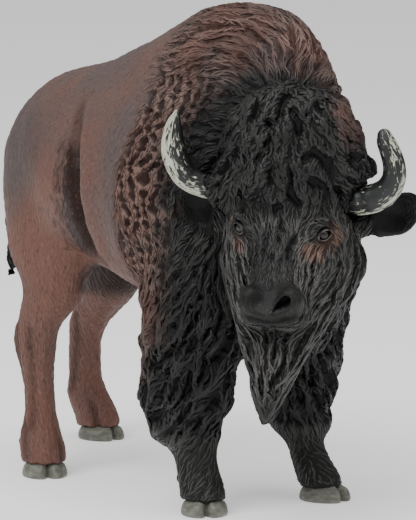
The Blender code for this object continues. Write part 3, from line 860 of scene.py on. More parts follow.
def style_at(surface):
    """The name of the style that the wool has at each point."""
    points = surface.points
    _, y, z = body_coordinates(points)
    _, left, up = head_coordinates(points)
    names = np.full(len(points), "nap", dtype=object)
    woolly = surface.wool > 0.5
    names[woolly] = "cape"
    names[woolly & (surface.normals[:, 2] > 0.45) & (z > 7)] = "hump"
    names[woolly & (crown_distance(points) < 2.6) & (z > 5.2)] = "mane"
    names[~woolly & (z < 4.6) & (y > 0)] = "leg"
    names[woolly & (net_share(points) * (1 - surface.head) > 0.5)] = "net"
    names[woolly & (z < 4.4)] = "chaps"
    names[woolly & (y < -3.4) & (z < 5.5)] = "chaps"
    head = (surface.head > 0.5) & woolly
    names[head & (up > -0.95)] = "crown"
    names[head & (up <= -0.95)] = "face"
    names[head & (bridge_share(points) > 0.4)] = "bridge"
    names[head & (up <= -1.3) & (np.abs(left) > 1.0)] = "cheeks"
    names[head & (up <= -2.2) & (np.abs(left) > 0.72)] = "cheeks"
    names[head & (up <= -3.05)] = "beard"
    names[tuft_share(points) > 0.5] = "tail_tuft"
    names[(z < CHAP_END) & (y < 0)] = "shin"
    names[ear_share(points) * surface.head > 0.5] = "ear"
    names[(names == "nap") & (surface.head > 0.5)] = ""
    # Nothing grows on the muzzle, by the eyes, in the ears, on the hooves' hems or under the feet.
    hollow_ear = (names == "ear") & (surface.normals @ AHEAD > 0.3) & (np.abs(left) < 2.0)
    bare = (muzzle_share(points) > 0.5) | (eye_distance(points) < 0.15) | hollow_ear | (z < 0.34)
    names[bare & ((surface.head > 0.5) | (z < 0.34))] = ""
    return names


LOCKS_PER_TUFT = 7
BARRED = 0.4  # no lock grows where the surface is barred this much
PIT_EDGE = 0.7  # and none crosses a place that is barred this much
CANDIDATES = 6  # tried for each root that finds room
CLEARANCE = 0.86  # between roots, as a share of their even spacing


def lock_roots(surface, rng):
    """Evenly scattered root points over the woolly skin, with their styles."""
    points = surface.points
    names = style_at(surface)
    length, width, sparse = (
        np.array([STYLES[name][i] if name else 1.0 for name in names]) for i in (0, 1, 8)
    )
    spacing = np.sqrt(sparse * length * width) * MM
    surface.barred = np.maximum(surface.paint["hollow"], names == "")
    wanted = np.where(surface.barred < BARRED, surface.area / spacing**2, 0)
    chosen = rng.random(len(points)) < np.minimum(wanted * CANDIDATES, 1)
    order = rng.permutation(np.flatnonzero(chosen))
    tree = search_tree(points[order])
    taken, blocked = np.zeros((2, len(order)), bool)
    for place, index in enumerate(order):
        if not blocked[place]:
            taken[place] = True
            for _, other, _ in tree.find_range(points[index], spacing[index] * CLEARANCE):
                blocked[other] = True
    roots = order[taken]
    return roots, names[roots]


def trace_locks(surface, roots, names, rng):
    """Every lock's course over the skin: points, normals, directions and skin points, ring by ring."""
    count = len(roots)
    figures = np.array([STYLES[name] for name in names]).T
    length, width, thickness, lift, height, swing, curl, curls, _, gather = figures
    length = length * rng.uniform(0.7, 1.3, count) * MM
    swing = np.radians(swing) * rng.normal(0, 1, count)
    curl = np.radians(curl), curls, rng.uniform(0, 2 * math.pi, count)
    _, depth = walked(surface, roots, length, swing, curl)
    # A lock that would lie across a pit or a bare place ends before it.
    sunk = np.argmax(np.vstack([depth > PIT_EDGE, np.ones((1, count), bool)]), axis=0) / LOCK_RINGS
    course, _ = walked(surface, roots, length * np.clip(sunk + 0.05, 0.3, 1), swing, curl)
    lines = on_ridges(surface, gathered(course, gather, rng), roots)
    return lines, np.array([width, thickness, lift, height]) * MM


def walked(surface, roots, length, swing, curl):
    """Courses that follow the coat's lie from their roots, and how far each place is barred to them."""
    amount, times, phase = curl
    points, normals, nearest = surface.points[roots], surface.normals[roots], roots
    course, depth = [], []
    for ring in range(LOCK_RINGS):
        t = ring / (LOCK_RINGS - 1)
        angle = swing * (1 - 0.8 * t) + amount * np.sin(phase + 2 * math.pi * times * t)
        direction = turned(along_skin(surface.flow[nearest], normals), normals, angle)
        course.append(points)
        depth.append(surface.barred[nearest])
        points, nearest = on_skin(surface, points + direction * (length / (LOCK_RINGS - 1))[:, None])
        normals = surface.normals[nearest]
    return np.array(course), np.array(depth)


def on_skin(surface, points):
    """The nearest places on the skin, and the skin points that they lie by."""
    places, nearest = np.empty_like(points), np.empty(len(points), int)
    for i, point in enumerate(points):
        place, _, face, _ = surface.tree.find_nearest(point)
        places[i], nearest[i] = place, surface.corner[face]
    return places, nearest


def gathered(course, gather, rng):
    """Courses drawn towards their nearest guide's tip, so that locks gather into pointed tufts."""
    count = course.shape[1]
    guides = rng.choice(count, max(count // LOCKS_PER_TUFT, 1), replace=False)
    tree = search_tree(course[0][guides])
    found = [tree.find(point) for point in course[0]]
    guide = guides[[place for _, place, _ in found]]
    reach = smooth(np.array([distance for *_, distance in found]), 2.2 * MM, 1.4 * MM)
    made = []
    for ring, points in enumerate(course):
        pull = gather * reach * (ring / (LOCK_RINGS - 1)) ** 1.3
        made.append(points + (course[ring][guide] - points) * pull[:, None])
    return made


def on_ridges(surface, course, roots):
    """Each ring's points, normals and directions, back on the skin."""
    lines = []
    for ring, points in enumerate(course):
        points, nearest = (points, roots) if ring == 0 else on_skin(surface, points)
        ahead, behind = course[min(ring + 1, LOCK_RINGS - 1)], course[max(ring - 1, 0)]
        normals = surface.normals[nearest]
        lines.append((points, normals, along_skin(ahead - behind, normals), nearest))
    return lines


def lock_arrays(lines, sizes, rng):
    """Vertices and crest values of all locks: each a low, pointed ridge along its course."""
    width, thickness, lift, height = sizes
    count = len(width)
    width = width * rng.uniform(0.75, 1.3, count)
    layer = height * rng.uniform(0.2, 1.4, count)
    corners = np.empty((count, LOCK_RINGS, LOCK_SIDES, 3))
    crest = np.empty((count, LOCK_RINGS, LOCK_SIDES))
    for ring, (points, normals, direction, _) in enumerate(lines):
        t = ring / (LOCK_RINGS - 1)
        fullness = max(math.sin(math.pi * (0.06 + 0.9 * t**0.8)) ** 0.7, 0.05)
        arch = math.sin(math.pi * min(t * 1.15, 1) ** 0.8)
        middle = points + normals * (layer * arch + lift * t**2)[:, None]
        side = np.cross(normals, direction)
        for i, (across, above, paint) in enumerate(LOCK_PROFILE):
            sideways = side * (across * 0.5 * width * fullness)[:, None]
            upwards = normals * (above * 0.5 * thickness * fullness)[:, None]
            corners[:, ring, i] = middle + sideways + upwards
            crest[:, ring, i] = paint * fullness * (0.6 + 0.4 * layer / np.maximum(1.4 * height, 1e-9))
    return corners, crest


def lock_faces(count):
    """Corner lists of the quads of every lock and of the two ends that close it."""
    per_lock = LOCK_RINGS * LOCK_SIDES
    quads = []
    for ring in range(LOCK_RINGS - 1):
        for i in range(LOCK_SIDES):
            j = (i + 1) % LOCK_SIDES
            low, high = ring * LOCK_SIDES, (ring + 1) * LOCK_SIDES
            quads.append((low + j, low + i, high + i, high + j))
    ends = [range(LOCK_SIDES), range(per_lock - LOCK_SIDES, per_lock)[::-1]]
    starts = (np.arange(count) * per_lock)[:, None, None]
    quads = (np.array(quads)[None] + starts).reshape(-1, 4)
    ends = (np.array(ends)[None] + starts).reshape(-1, LOCK_SIDES)
    return quads, ends


def lock_mesh(name, corners, values, patches):
    """One mesh of many locks, with values per vertex and their patches on the bake map."""
    count = len(corners)
    quads, ends = lock_faces(count)
    loops = np.concatenate([quads.ravel(), ends.ravel()])
    totals = np.concatenate([np.full(len(quads), 4), np.full(len(ends), LOCK_SIDES)])
    starts = np.concatenate([[0], np.cumsum(totals)[:-1]])
    mesh = bpy.data.meshes.new(name)
    mesh.vertices.add(count * LOCK_RINGS * LOCK_SIDES)
    mesh.vertices.foreach_set("co", corners.astype(np.float32).ravel())
    mesh.loops.add(len(loops))
    mesh.loops.foreach_set("vertex_index", loops.astype(np.int32))
    mesh.polygons.add(len(totals))
    mesh.polygons.foreach_set("loop_start", starts.astype(np.int32))
    mesh.polygons.foreach_set("loop_total", totals.astype(np.int32))
    shade_smooth(mesh)
    mesh.update(calc_edges=True)
    store(mesh, **{key: value.ravel() for key, value in values.items()})
    layer = mesh.uv_layers.new(name="OFBake")
    layer.data.foreach_set("uv", patches.reshape(-1, 2)[loops].astype(np.float32).ravel())
    return scene_object(name, mesh)


BAKE_PATCH = 0.003
UNWRAP_DETAIL = 0.03  # share of the skin's faces that its unwrap keeps


def bake_patches(uv):
    """A small patch round each lock's own place on the skin's unwrap."""
    along = (np.arange(LOCK_RINGS) / (LOCK_RINGS - 1) - 0.5) * BAKE_PATCH
    around = (np.arange(LOCK_SIDES) / (LOCK_SIDES - 1) - 0.5) * BAKE_PATCH
    grid = np.stack(np.meshgrid(along, around, indexing="ij"), axis=-1)
    return uv[:, None, None, :] + grid[None]


def skin_unwrap(skin):
    """An unwrap of the skin's shape, on a coarse copy: a tree of its faces and their places on the map."""
    coarse = scene_object("unwrap", skin.data.copy())
    apply_modifier(coarse, "DECIMATE", ratio=UNWRAP_DETAIL)
    bpy.context.view_layer.objects.active = coarse
    coarse.select_set(True)
    bpy.ops.object.mode_set(mode="EDIT")
    bpy.ops.mesh.select_all(action="SELECT")
    bpy.ops.uv.smart_project(angle_limit=math.radians(60), island_margin=0.01)
    bpy.ops.object.mode_set(mode="OBJECT")
    mesh = coarse.data
    tree = BVHTree.FromPolygons([v.co for v in mesh.vertices], [p.vertices for p in mesh.polygons])
    layer = mesh.uv_layers.active.data
    centres = np.array([np.mean([layer[i].uv for i in p.loop_indices], axis=0) for p in mesh.polygons])
    bpy.data.objects.remove(coarse)
    return tree, centres


def uv_of(points, unwrap):
    tree, centres = unwrap
    return np.array([centres[tree.find_nearest(Vector(p))[2]] for p in points])


COAT_PIECES = {
    "coat_hump": ("hump", "cape", "net"),
    "coat_mane": ("mane", "crown"),
    "coat_chaps": ("chaps", "shin"),
    "coat_face": ("face", "bridge", "cheeks", "beard", "ear"),
    "coat_tail": ("tail_tuft",),
    "coat_nap": ("nap", "leg"),
}
MOST_LOCKS = 3000  # in one piece, which keeps it under 200,000 triangles
COAT_SEED = 7


def make_coat(skin, surface):
    """Every lock of wool and hair, as pieces of a bounded size."""
    rng = np.random.default_rng(COAT_SEED)
    roots, names = lock_roots(surface, rng)
    unwrap = skin_unwrap(skin)
    made = []
    for title, styles in COAT_PIECES.items():
        chosen = np.isin(names, styles)
        order = np.argsort(surface.points[roots[chosen]][:, 1], kind="stable")
        part_roots, part_names = roots[chosen][order], names[chosen][order]
        for number, start in enumerate(range(0, len(part_roots), MOST_LOCKS)):
            part = slice(start, start + MOST_LOCKS)
            name = f"{title}_{number + 1}"
            made.append(coat_piece(name, surface, part_roots[part], part_names[part], unwrap, rng))
    return made


def coat_piece(name, surface, roots, names, unwrap, rng):
    """The locks that grow from these roots, painted as the skin is along their way."""
    lines, sizes = trace_locks(surface, roots, names, rng)
    corners, crest = lock_arrays(lines, sizes, rng)
    under = np.stack([nearest for *_, nearest in lines], axis=1)
    values = {
        key: np.repeat(paint[under][:, :, None], LOCK_SIDES, axis=2) for key, paint in surface.paint.items()
    }
    values["crest"] = crest
    return lock_mesh(name, corners, values, bake_patches(uv_of(surface.points[roots], unwrap)))


# ---- horns, eyes and hooves

# Horn centrelines in the head's axes: forward, left, up, radius, in centimetres.
HORNS = {
    "right": (
        (0.42, -0.95, -0.86, 0.19), (0.48, -1.35, -0.89, 0.2), (0.52, -1.66, -0.83, 0.21),
        (0.56, -1.91, -0.68, 0.225), (0.6, -2.06, -0.42, 0.235), (0.66, -2.12, -0.12, 0.215),
        (0.7, -2.1, 0.24, 0.145), (0.7, -2.04, 0.48, 0.05),
    ),
    "left": (
        (0.5, 0.9, -1.0, 0.25), (0.52, 1.25, -1.04, 0.255), (0.58, 1.52, -0.98, 0.255),
        (0.64, 1.76, -0.84, 0.235), (0.68, 1.89, -0.62, 0.215), (0.7, 1.9, -0.38, 0.2),
        (0.7, 1.83, -0.15, 0.185), (0.7, 1.75, 0.04, 0.165), (0.7, 1.72, 0.15, 0.13),
    ),
}
# How much the cream paint keeps to one side, where that is from the convex side, and how much more
# of it there is.
PAINTED_SIDE = {"right": (1.3, 0.6, -0.6), "left": (0.7, 0.0, -0.7)}
HORN_SIDES = 48
DOME = ((0.45, 0.85), (0.75, 0.55), (0.9, 0.2))  # rise and width of the tip's rings, in radii
PAINT_SPAN = 6.5 * MM  # length of horn that one unit of the paint's noise covers


def smooth_through(rows, steps):
    """Rows of numbers joined by a Catmull-Rom curve, with this many steps in each span."""
    rows = np.array(rows, float)
    ends = np.vstack([2 * rows[0] - rows[1], rows, 2 * rows[-1] - rows[-2]])
    made = []
    for a, b, c, d in zip(ends, ends[1:], ends[2:], ends[3:]):
        for t in np.arange(steps) / steps:
            square = (2 * a - 5 * b + 4 * c - d) * t**2
            cube = (3 * b - a - 3 * c + d) * t**3
            made.append((2 * b + (c - a) * t + square + cube) / 2)
    made.append(rows[-1])
    return np.array(made)


def ring_mesh(name, rings, closed=False, flip=False):
    """A smooth mesh through rings of points: a tube with two ends, or a closed hoop."""
    count, sides = rings.shape[:2]
    faces = []
    for ring in range(count if closed else count - 1):
        for i in range(sides):
            j = (i + 1) % sides
            low, high = ring * sides, (ring + 1) % count * sides
            faces.append((low + i, low + j, high + j, high + i))
    if not closed:
        faces.append(tuple(range(sides))[::-1])
        faces.append(tuple(range((count - 1) * sides, count * sides)))
    mesh = bpy.data.meshes.new(name)
    mesh.from_pydata(rings.reshape(-1, 3).tolist(), [], faces)
    if flip:
        mesh.flip_normals()
    shade_smooth(mesh)
    return scene_object(name, mesh)


def make_horn(side):
    """A horn with fine lengthwise grooves and growth rings near its root."""
    rows = smooth_through(HORNS[side], 10)
    centres = np.array([in_head(*row[:3]) for row in rows])
    radii = rows[:, 3] * CM
    tangents = unit(np.gradient(centres, axis=0))
    front = unit(AHEAD - (tangents @ AHEAD)[:, None] * tangents)
    convex = np.cross(tangents, front) * (1 if side == "left" else -1)
    length = np.linspace(0, 1, len(rows))
    angles = np.arange(HORN_SIDES) * 2 * math.pi / HORN_SIDES
    fluting = 0.022 * np.sin(9 * angles) + 0.014 * np.sin(17 * angles + 1.3)
    swell = 0.02 * np.sin(length * 60) * (1 - length) ** 2
    reach = radii[:, None] * (1 + np.outer(1 - 0.6 * length, fluting) + swell[:, None])
    cos, sin = np.cos(angles)[:, None], np.sin(angles)[:, None]
    rings = centres[:, None] + reach[:, :, None] * (cos * front[:, None] + sin * convex[:, None])
    # A domed tip closes the horn.
    last = rings[-1]
    middle = last.mean(axis=0)
    domes = [middle + (last - middle) * width + tangents[-1] * radii[-1] * rise for rise, width in DOME]
    rings = np.concatenate([rings, domes])
    horn = ring_mesh(f"horn_{side}_painted", rings, flip=side == "right")
    along = np.repeat(np.append(length, np.ones(len(DOME))), HORN_SIDES)
    turns = np.tile(angles, len(rings))
    travelled = along * np.sum(np.linalg.norm(np.diff(centres, axis=0), axis=1))
    unrolled = np.stack([np.cos(turns), np.sin(turns), travelled / PAINT_SPAN], axis=1)
    layer = horn.data.attributes.new("unrolled", "FLOAT_VECTOR", "POINT")
    layer.data.foreach_set("vector", unrolled.astype(np.float32).ravel())
    strength, turn, more = PAINTED_SIDE[side]
    bare_root = 2.0 * fade(along, 0.04, 0.16)
    store(horn.data, convex=np.sin(turns + turn) * strength + more - bare_root)
    return horn


def make_eye(side):
    builder = bmesh.new()
    bmesh.ops.create_uvsphere(builder, u_segments=40, v_segments=24, radius=EYE_RADIUS)
    bmesh.ops.translate(builder, vec=Vector(EYE_CENTRES[side]), verts=builder.verts)
    eye = object_from(builder, f"eyeball_{side}")
    shade_smooth(eye.data)
    return eye


# The lids' section from the opening outwards: distance beyond its edge, and out from the eye's centre.
LID_SECTION = (
    (0.0, 0.08), (0.006, 0.108), (0.015, 0.12), (0.028, 0.114), (0.046, 0.09),
    (0.07, 0.05), (0.06, 0.02), (0.03, 0.0), (0.0, 0.05),
)
LID_GLINT = 0.11  # how far out the lids' painted glints start
LID_STEPS = 56
EYE_OPENING = (0.125, 0.066)  # half width and half height


def make_lids(side):
    """Both lids of one eye, as a ring round an almond opening, with painted glints on the outer rim."""
    gaze, level, tall = eye_axes(side)
    angles = np.arange(LID_STEPS) * 2 * math.pi / LID_STEPS
    cos, sin = np.cos(angles), np.sin(angles)
    edge = np.stack([EYE_OPENING[0] * cos, EYE_OPENING[1] * sin * (1 - 0.35 * cos**2)], axis=1)
    outward = unit(np.stack([cos, 1.2 * sin], axis=1))
    rings = []
    for beyond, out in LID_SECTION:
        across, height = (edge + outward * beyond).T[:, :, None]
        rings.append(EYE_CENTRES[side] + CM * (across * level + height * tall + out * gaze))
    rings = np.stack(rings, axis=1)
    lids = ring_mesh(f"eyelids_{side}", rings, closed=True)
    points = vertex_array(lids.data)
    # The outer rim, broken up by noise, takes the light worn grey: painted glints on the lids.
    crest = np.tile([float(out > LID_GLINT) for _, out in LID_SECTION], len(rings))
    crest = crest * smooth(noise_at(points, 0.9 * MM, 41.0), -0.6, 0.1)
    full = np.ones(len(points))
    store(lids.data, black=full, worn=full, crest=crest, tan=0.35 * tan_share(points))
    return lids


# Hoof profile from the floor up: height and size of the outline, in centimetres and as a share.
HOOF_PROFILE = (
    (0.0, 0.92), (0.012, 0.975), (0.05, 1.0), (0.1, 0.985), (0.16, 0.95), (0.22, 0.88), (0.3, 0.6),
)
HOOF_HALF_WIDTH, HOOF_HALF_LENGTH = 0.43, 0.5  # in centimetres
HOOF_SIDES = 72


def make_hoof(name, turn):
    """A cloven hoof of two toes, bevelled at the sole, where its CAD node stands."""
    low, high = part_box(f"{name}_hoof")
    middle = (low + high) / 2
    angle = np.arange(HOOF_SIDES) * 360 / HOOF_SIDES
    from_toe = np.minimum(angle, 360 - angle)
    notch = 0.44 * np.exp(-((from_toe / 9) ** 2)) + 0.1 * np.exp(-(((180 - angle) / 25) ** 2))
    reach = 1 + 0.03 * np.exp(-(((from_toe - 32) / 16) ** 2)) - notch
    aside = HOOF_HALF_WIDTH * reach * np.sin(np.radians(angle))
    back = -HOOF_HALF_LENGTH * reach * np.cos(np.radians(angle))
    outline = np.stack([aside, back, 0 * angle], axis=1)
    rings = [CM * (size * outline + height * UP) for height, size in HOOF_PROFILE]
    hoof = ring_mesh(f"{name}_hoof_painted", np.array(rings))
    spin = Matrix.Rotation(math.radians(turn), 4, "Z")
    hoof.data.transform(Matrix.Translation((middle.x, middle.y, 0)) @ spin)
    return hoof


# ---- materials


class Paint:
    """Builds one material's nodes, each call returning an output socket."""

    def __init__(self, name, roughness, **settings):
        self.material = bpy.data.materials.new(name)
        self.material.use_nodes = True
        self.tree = self.material.node_tree
        self.shader = self.tree.nodes["Principled BSDF"]
        self.shader.inputs["Roughness"].default_value = roughness
        for key, value in settings.items():
            self.shader.inputs[key.replace("_", " ")].default_value = value

    def node(self, kind, **settings):
        node = self.tree.nodes.new(kind)
        for key, value in settings.items():
            setattr(node, key, value)
        return node

    def feed(self, socket, value):
        if isinstance(value, bpy.types.NodeSocket):
            self.tree.links.new(value, socket)
        elif isinstance(value, tuple) and len(value) == 3 and socket.type == "RGBA":
            socket.default_value = (*value, 1)
        else:
            socket.default_value = value

    def stored(self, name):
        return self.node("ShaderNodeAttribute", attribute_name=name).outputs["Fac"]

    def noise_on(self, vector, scale, detail=2.0, distortion=0.0):
        texture = self.node("ShaderNodeTexNoise")
        self.feed(texture.inputs["Vector"], vector)
        texture.inputs["Scale"].default_value = scale
        texture.inputs["Detail"].default_value = detail
        texture.inputs["Distortion"].default_value = distortion
        return texture.outputs["Fac"]

    def noise(self, size, detail=2.0, stretch=(1, 1, 1)):
        """Noise with lumps of this size in metres, drawn out along an axis by stretch."""
        mapping = self.node("ShaderNodeMapping")
        self.feed(mapping.inputs["Vector"], self.node("ShaderNodeTexCoord").outputs["Object"])
        mapping.inputs["Scale"].default_value = [1 / (size * s) for s in stretch]
        return self.noise_on(mapping.outputs["Vector"], 1, detail)

    def math(self, operation, first, second, clamp=False):
        node = self.node("ShaderNodeMath", operation=operation, use_clamp=clamp)
        self.feed(node.inputs[0], first)
        self.feed(node.inputs[1], second)
        return node.outputs[0]

    def times(self, first, second):
        return self.math("MULTIPLY", first, second)

    def plus(self, first, second, clamp=False):
        return self.math("ADD", first, second, clamp)

    def ramp(self, value, low, high):
        """0 at low, 1 at high, and smooth between."""
        node = self.node("ShaderNodeMapRange", interpolation_type="SMOOTHSTEP")
        self.feed(node.inputs["Value"], value)
        node.inputs["From Min"].default_value = low
        node.inputs["From Max"].default_value = high
        return node.outputs["Result"]

    def mix(self, share, first, second):
        node = self.node("ShaderNodeMix", data_type="RGBA")
        self.feed(node.inputs[0], share)
        self.feed(node.inputs[6], first)
        self.feed(node.inputs[7], second)
        return node.outputs[2]

    def bump(self, height, distance):
        node = self.node("ShaderNodeBump")
        node.inputs["Distance"].default_value = distance
        self.feed(node.inputs["Height"], height)
        self.feed(self.shader.inputs["Normal"], node.outputs["Normal"])

    def colour(self, value):
        self.feed(self.shader.inputs["Base Color"], value)
        return self.material


WOOL_LIGHT = (0.19, 0.122, 0.1)
WOOL_RUDDY = (0.068, 0.032, 0.025)
WOOL_GREY = (0.056, 0.038, 0.033)
# Painted shade in the wool's pits and on the locks' lower sides.
WOOL_PIT_SHADE = (0.013, 0.0046, 0.0033)
BODY_RUDDY = (0.138, 0.067, 0.051)
BODY_LIGHT = (0.23, 0.14, 0.115)
BODY_GREY = (0.082, 0.064, 0.061)
BODY_DARK = (0.03, 0.013, 0.0095)
# Dark wash that is partly painted shade: in folds and grooves, between the thighs and under the belly.
FOLD_WASH_AND_SHADE = (0.017, 0.0065, 0.0042)
# Black painted shade in the pits and on the locks' lower sides, also under the dark wash.
BLACK_WASH_AND_SHADE = (0.002, 0.002, 0.0023)
BLACK_MID = (0.004, 0.0039, 0.0038)
BLACK_DUSTY = (0.013, 0.0126, 0.012)
BLACK_WORN = (0.1, 0.098, 0.093)
TAN = (0.25, 0.145, 0.105)
TAN_DEEP = (0.06, 0.029, 0.021)


def body_brown(paint, grain, crest=0.0):
    """The brown of the short coat: from ruddy to grey, worn on grain and crests, and dark in its grooves and
    folds under a wash that is partly painted shade.
    """
    brown = paint.mix(paint.stored("grey"), BODY_RUDDY, BODY_GREY)
    light = paint.plus(paint.times(paint.ramp(grain, 0.52, 0.8), 0.5), crest, clamp=True)
    brown = paint.mix(light, brown, BODY_LIGHT)
    brown = paint.mix(paint.times(paint.ramp(grain, 0.47, 0.25), 0.55), brown, BODY_DARK)
    specks = paint.ramp(paint.noise(1.5 * MM, detail=4), 0.62, 0.72)
    brown = paint.mix(paint.times(specks, 0.45), brown, BODY_DARK)
    # The dark wash: partly the toy's paint in grooves, and painted shade in the fold, between the thighs and
    # under the belly.
    wash = paint.times(paint.stored("wash"), paint.ramp(grain, 1.05, 0.5))
    return paint.mix(wash, brown, FOLD_WASH_AND_SHADE)


def wool_brown(paint):
    """The cape's brown, ruddy and grey by turns, with painted shade in its pits."""
    brown = paint.mix(paint.ramp(paint.noise(9 * MM, detail=4), 0.38, 0.62), WOOL_RUDDY, WOOL_GREY)
    # Painted shade in the pits.
    return paint.mix(paint.stored("hollow"), brown, WOOL_PIT_SHADE)


def wool_black(paint):
    """The black of the front, with painted shade in its pits, a dark wash that is partly painted shade, and
    tan paint round the eyes.
    """
    black = paint.mix(paint.stored("worn"), BLACK_MID, BLACK_DUSTY)
    # Painted shade in the pits, then the dark wash, which is partly painted shade.
    black = paint.mix(paint.ramp(paint.stored("hollow"), 0.0, 0.8), black, BLACK_WASH_AND_SHADE)
    black = paint.mix(paint.stored("wash"), black, BLACK_WASH_AND_SHADE)
    return paint.mix(paint.times(paint.stored("tan"), 0.8), black, TAN_DEEP)


def wool_paint():
    """Paint on the locks: painted shade in the pits and on their lower sides, dry-brushed on the crests,
    with flecks that are partly painted glints.
    """
    paint = Paint("wool_paint", 0.46, Specular_IOR_Level=0.24)
    # Fine flecks in the dry-brushing, partly painted glints on the strands.
    flecks_and_glints = paint.times(paint.noise(0.5 * MM, detail=3), 0.9)
    sunk = paint.times(paint.stored("hollow"), -0.7)
    brushed = paint.plus(paint.plus(paint.stored("crest"), flecks_and_glints), sunk)
    patches = paint.ramp(paint.noise(8 * MM, detail=3), 0.2, 0.65)
    brushed = paint.times(paint.ramp(brushed, 0.68, 1.35), patches)
    # The locks' lower sides, which take little of the crest's paint, get painted shade.
    low = paint.times(paint.ramp(paint.stored("crest"), 0.35, 0.0), 0.6)
    brown = paint.mix(low, wool_brown(paint), WOOL_PIT_SHADE)
    brushed = paint.times(brushed, paint.stored("worn"))
    brown = paint.mix(brushed, brown, WOOL_LIGHT)
    black = paint.mix(low, wool_black(paint), BLACK_WASH_AND_SHADE)
    black = paint.mix(brushed, black, BLACK_WORN)
    tan = paint.mix(paint.ramp(paint.stored("crest"), 0.1, 0.8), TAN_DEEP, TAN)
    black = paint.mix(paint.times(paint.stored("tan"), 0.7), black, tan)
    return paint.colour(paint.mix(paint.stored("black"), brown, black))


def coat_grain(paint):
    """Fine noise, drawn out upwards, in which the short coat's paint settles."""
    return paint.noise(0.45 * MM, detail=5, stretch=(1, 1, 1.8))


def skin_paint():
    """Paint on the skin: the short coat's, and the wool's own under the locks."""
    paint = Paint("skin_paint", 0.5, Specular_IOR_Level=0.17)
    grain = coat_grain(paint)
    strands = paint.plus(paint.stored("crest"), paint.times(grain, 0.9))
    strands = paint.times(paint.ramp(strands, 0.95, 1.5), 0.7)
    wool = paint.mix(strands, wool_brown(paint), WOOL_LIGHT)
    brown = paint.mix(paint.stored("wool"), body_brown(paint, grain), wool)
    worn = paint.times(paint.ramp(grain, 0.5, 0.9), paint.times(paint.stored("worn"), 0.5))
    black = paint.mix(worn, wool_black(paint), BLACK_WORN)
    paint.bump(grain, 0.1 * MM)
    return paint.colour(paint.mix(paint.stored("black"), brown, black))


def nap_paint():
    """Paint on the short coat's own tufts: the skin's brown, a little worn on their crests."""
    paint = Paint("nap_paint", 0.5, Specular_IOR_Level=0.17)
    grain = coat_grain(paint)
    brown = body_brown(paint, grain, paint.times(paint.stored("crest"), 0.3))
    black = paint.mix(paint.times(paint.stored("crest"), 0.6), BLACK_MID, BLACK_WORN)
    return paint.colour(paint.mix(paint.stored("black"), brown, black))


def horn_paint():
    """Cream dragged over black along the horn, thick on its convex side."""
    paint = Paint("horn_dry_brush", 0.45)
    unrolled = paint.node("ShaderNodeAttribute", attribute_name="unrolled").outputs["Vector"]
    streak = paint.noise_on(unrolled, 4.6, detail=8, distortion=0.8)
    blotch = paint.noise_on(unrolled, 1.3, detail=2)
    cover = paint.plus(streak, paint.times(paint.stored("convex"), 0.14))
    cover = paint.plus(cover, paint.times(blotch, 0.45))
    cover = paint.ramp(cover, 0.69, 0.82)
    cream = paint.mix(paint.noise_on(unrolled, 9.0, detail=2), (0.3, 0.31, 0.25), (0.62, 0.63, 0.5))
    paint.bump(streak, 0.12 * MM)
    return paint.colour(paint.mix(cover, (0.006, 0.007, 0.007), cream))


def hoof_paint():
    paint = Paint("hoof_paint", 0.5)
    wear = paint.noise(1.4 * MM, detail=4, stretch=(1, 1, 0.5))
    grey = paint.mix(paint.ramp(wear, 0.35, 0.7), (0.1, 0.102, 0.082), (0.18, 0.182, 0.15))
    paint.bump(wear, 0.1 * MM)
    return paint.colour(grey)


def eye_paint():
    paint = Paint("eye_gloss_paint", 0.08, Specular_IOR_Level=0.35, Coat_Weight=0.15)
    faint = paint.noise(0.9 * MM, detail=2)
    return paint.colour(paint.mix(faint, (0.002, 0.002, 0.002), (0.012, 0.01, 0.009)))


def give(obj, material):
    """Sets one piece's material and hangs it on the body's root."""
    obj.data.materials.clear()
    obj.data.materials.append(material)
    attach(obj, "root")
    return obj


# ---- floor, light and camera


WHITE = (1, 1, 1, 1)
FLOOR_HALF_SIZE = 3


def make_stage():
    builder = bmesh.new()
    bmesh.ops.create_grid(builder, x_segments=1, y_segments=1, size=FLOOR_HALF_SIZE)
    floor = object_from(builder, "floor")
    paint = Paint("floor_paint", 0.7, Emission_Strength=0.45)
    paint.shader.inputs["Emission Color"].default_value = WHITE
    floor.data.materials.append(paint.colour(paint.mix(paint.noise(0.3), (0.86,) * 3, (0.9,) * 3)))


# Square soft lights: name, bearing and height in degrees, distance and size in metres, watts.
LIGHTS = (("key", -70, 50, 0.8, 0.45, 5), ("fill", 25, 30, 0.9, 0.6, 1.5), ("top", -20, 85, 0.8, 0.5, 2.5))
LIGHT_AIM = Vector((0, 0, 0.05))
WORLD_STRENGTH = 0.42


def direction(bearing, height):
    """The way to this bearing and height in degrees; bearing 0 is in front of the bull, 90 to its left."""
    turn, tilt = math.radians(bearing), math.radians(height)
    return Vector((math.sin(turn) * math.cos(tilt), -math.cos(turn) * math.cos(tilt), math.sin(tilt)))


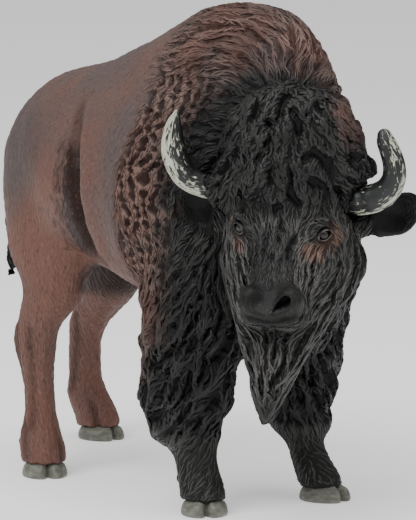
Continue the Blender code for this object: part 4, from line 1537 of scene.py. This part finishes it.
def look_at(obj, target, away, distance):
    """Puts a light or camera this way and distance from its target, facing it."""
    obj.location = target + away * distance
    obj.rotation_euler = away.to_track_quat("Z", "Y").to_euler()


def make_light():
    world = bpy.data.worlds.new("studio")
    bpy.context.scene.world = world
    world.use_nodes = True
    background = world.node_tree.nodes["Background"]
    background.inputs["Color"].default_value = WHITE
    background.inputs["Strength"].default_value = WORLD_STRENGTH
    for name, bearing, height, distance, size, power in LIGHTS:
        light = bpy.data.lights.new(name, "AREA")
        light.energy, light.size = power, size
        look_at(scene_object(name, light), LIGHT_AIM, direction(bearing, height), distance)


CAMERA_BEARING, CAMERA_HEIGHT, CAMERA_DISTANCE = -34, 7.3, 0.85
CAMERA_AIM = (0.661 * CM, 4.198 * CM)  # to the camera's right of the body's origin, and up
CAMERA_LENS, CAMERA_SENSOR = 311.9, 36  # in millimetres


def make_camera():
    camera = bpy.data.cameras.new("camera")
    camera.lens = CAMERA_LENS
    camera.sensor_width = CAMERA_SENSOR
    camera.clip_start, camera.clip_end = 0.05, 20
    obj = scene_object("camera", camera)
    away, right = direction(CAMERA_BEARING, CAMERA_HEIGHT), direction(CAMERA_BEARING + 90, 0)
    target = Vector(ORIGIN) + right * CAMERA_AIM[0] + away.cross(right) * CAMERA_AIM[1]
    look_at(obj, target, away, CAMERA_DISTANCE)
    bpy.context.scene.camera = obj


def main():
    make_camera()
    make_light()
    make_stage()
    skin, surface = make_skin()
    coat = make_coat(skin, surface)
    give(skin, skin_paint())
    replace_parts(skin, *FLESH)
    wool, nap = wool_paint(), nap_paint()
    for piece in coat:
        short = piece.name.startswith("coat_nap")
        give(piece, nap if short else wool)
    horn, eye, hoof = horn_paint(), eye_paint(), hoof_paint()
    for side in ("left", "right"):
        give(make_lids(side), wool)
        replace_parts(give(make_horn(side), horn), f"horn_{side}")
        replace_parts(give(make_eye(side), eye), f"eye_{side}")
    for name, turn in HOOVES.items():
        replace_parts(give(make_hoof(name, turn), hoof), f"{name}_hoof")


main()
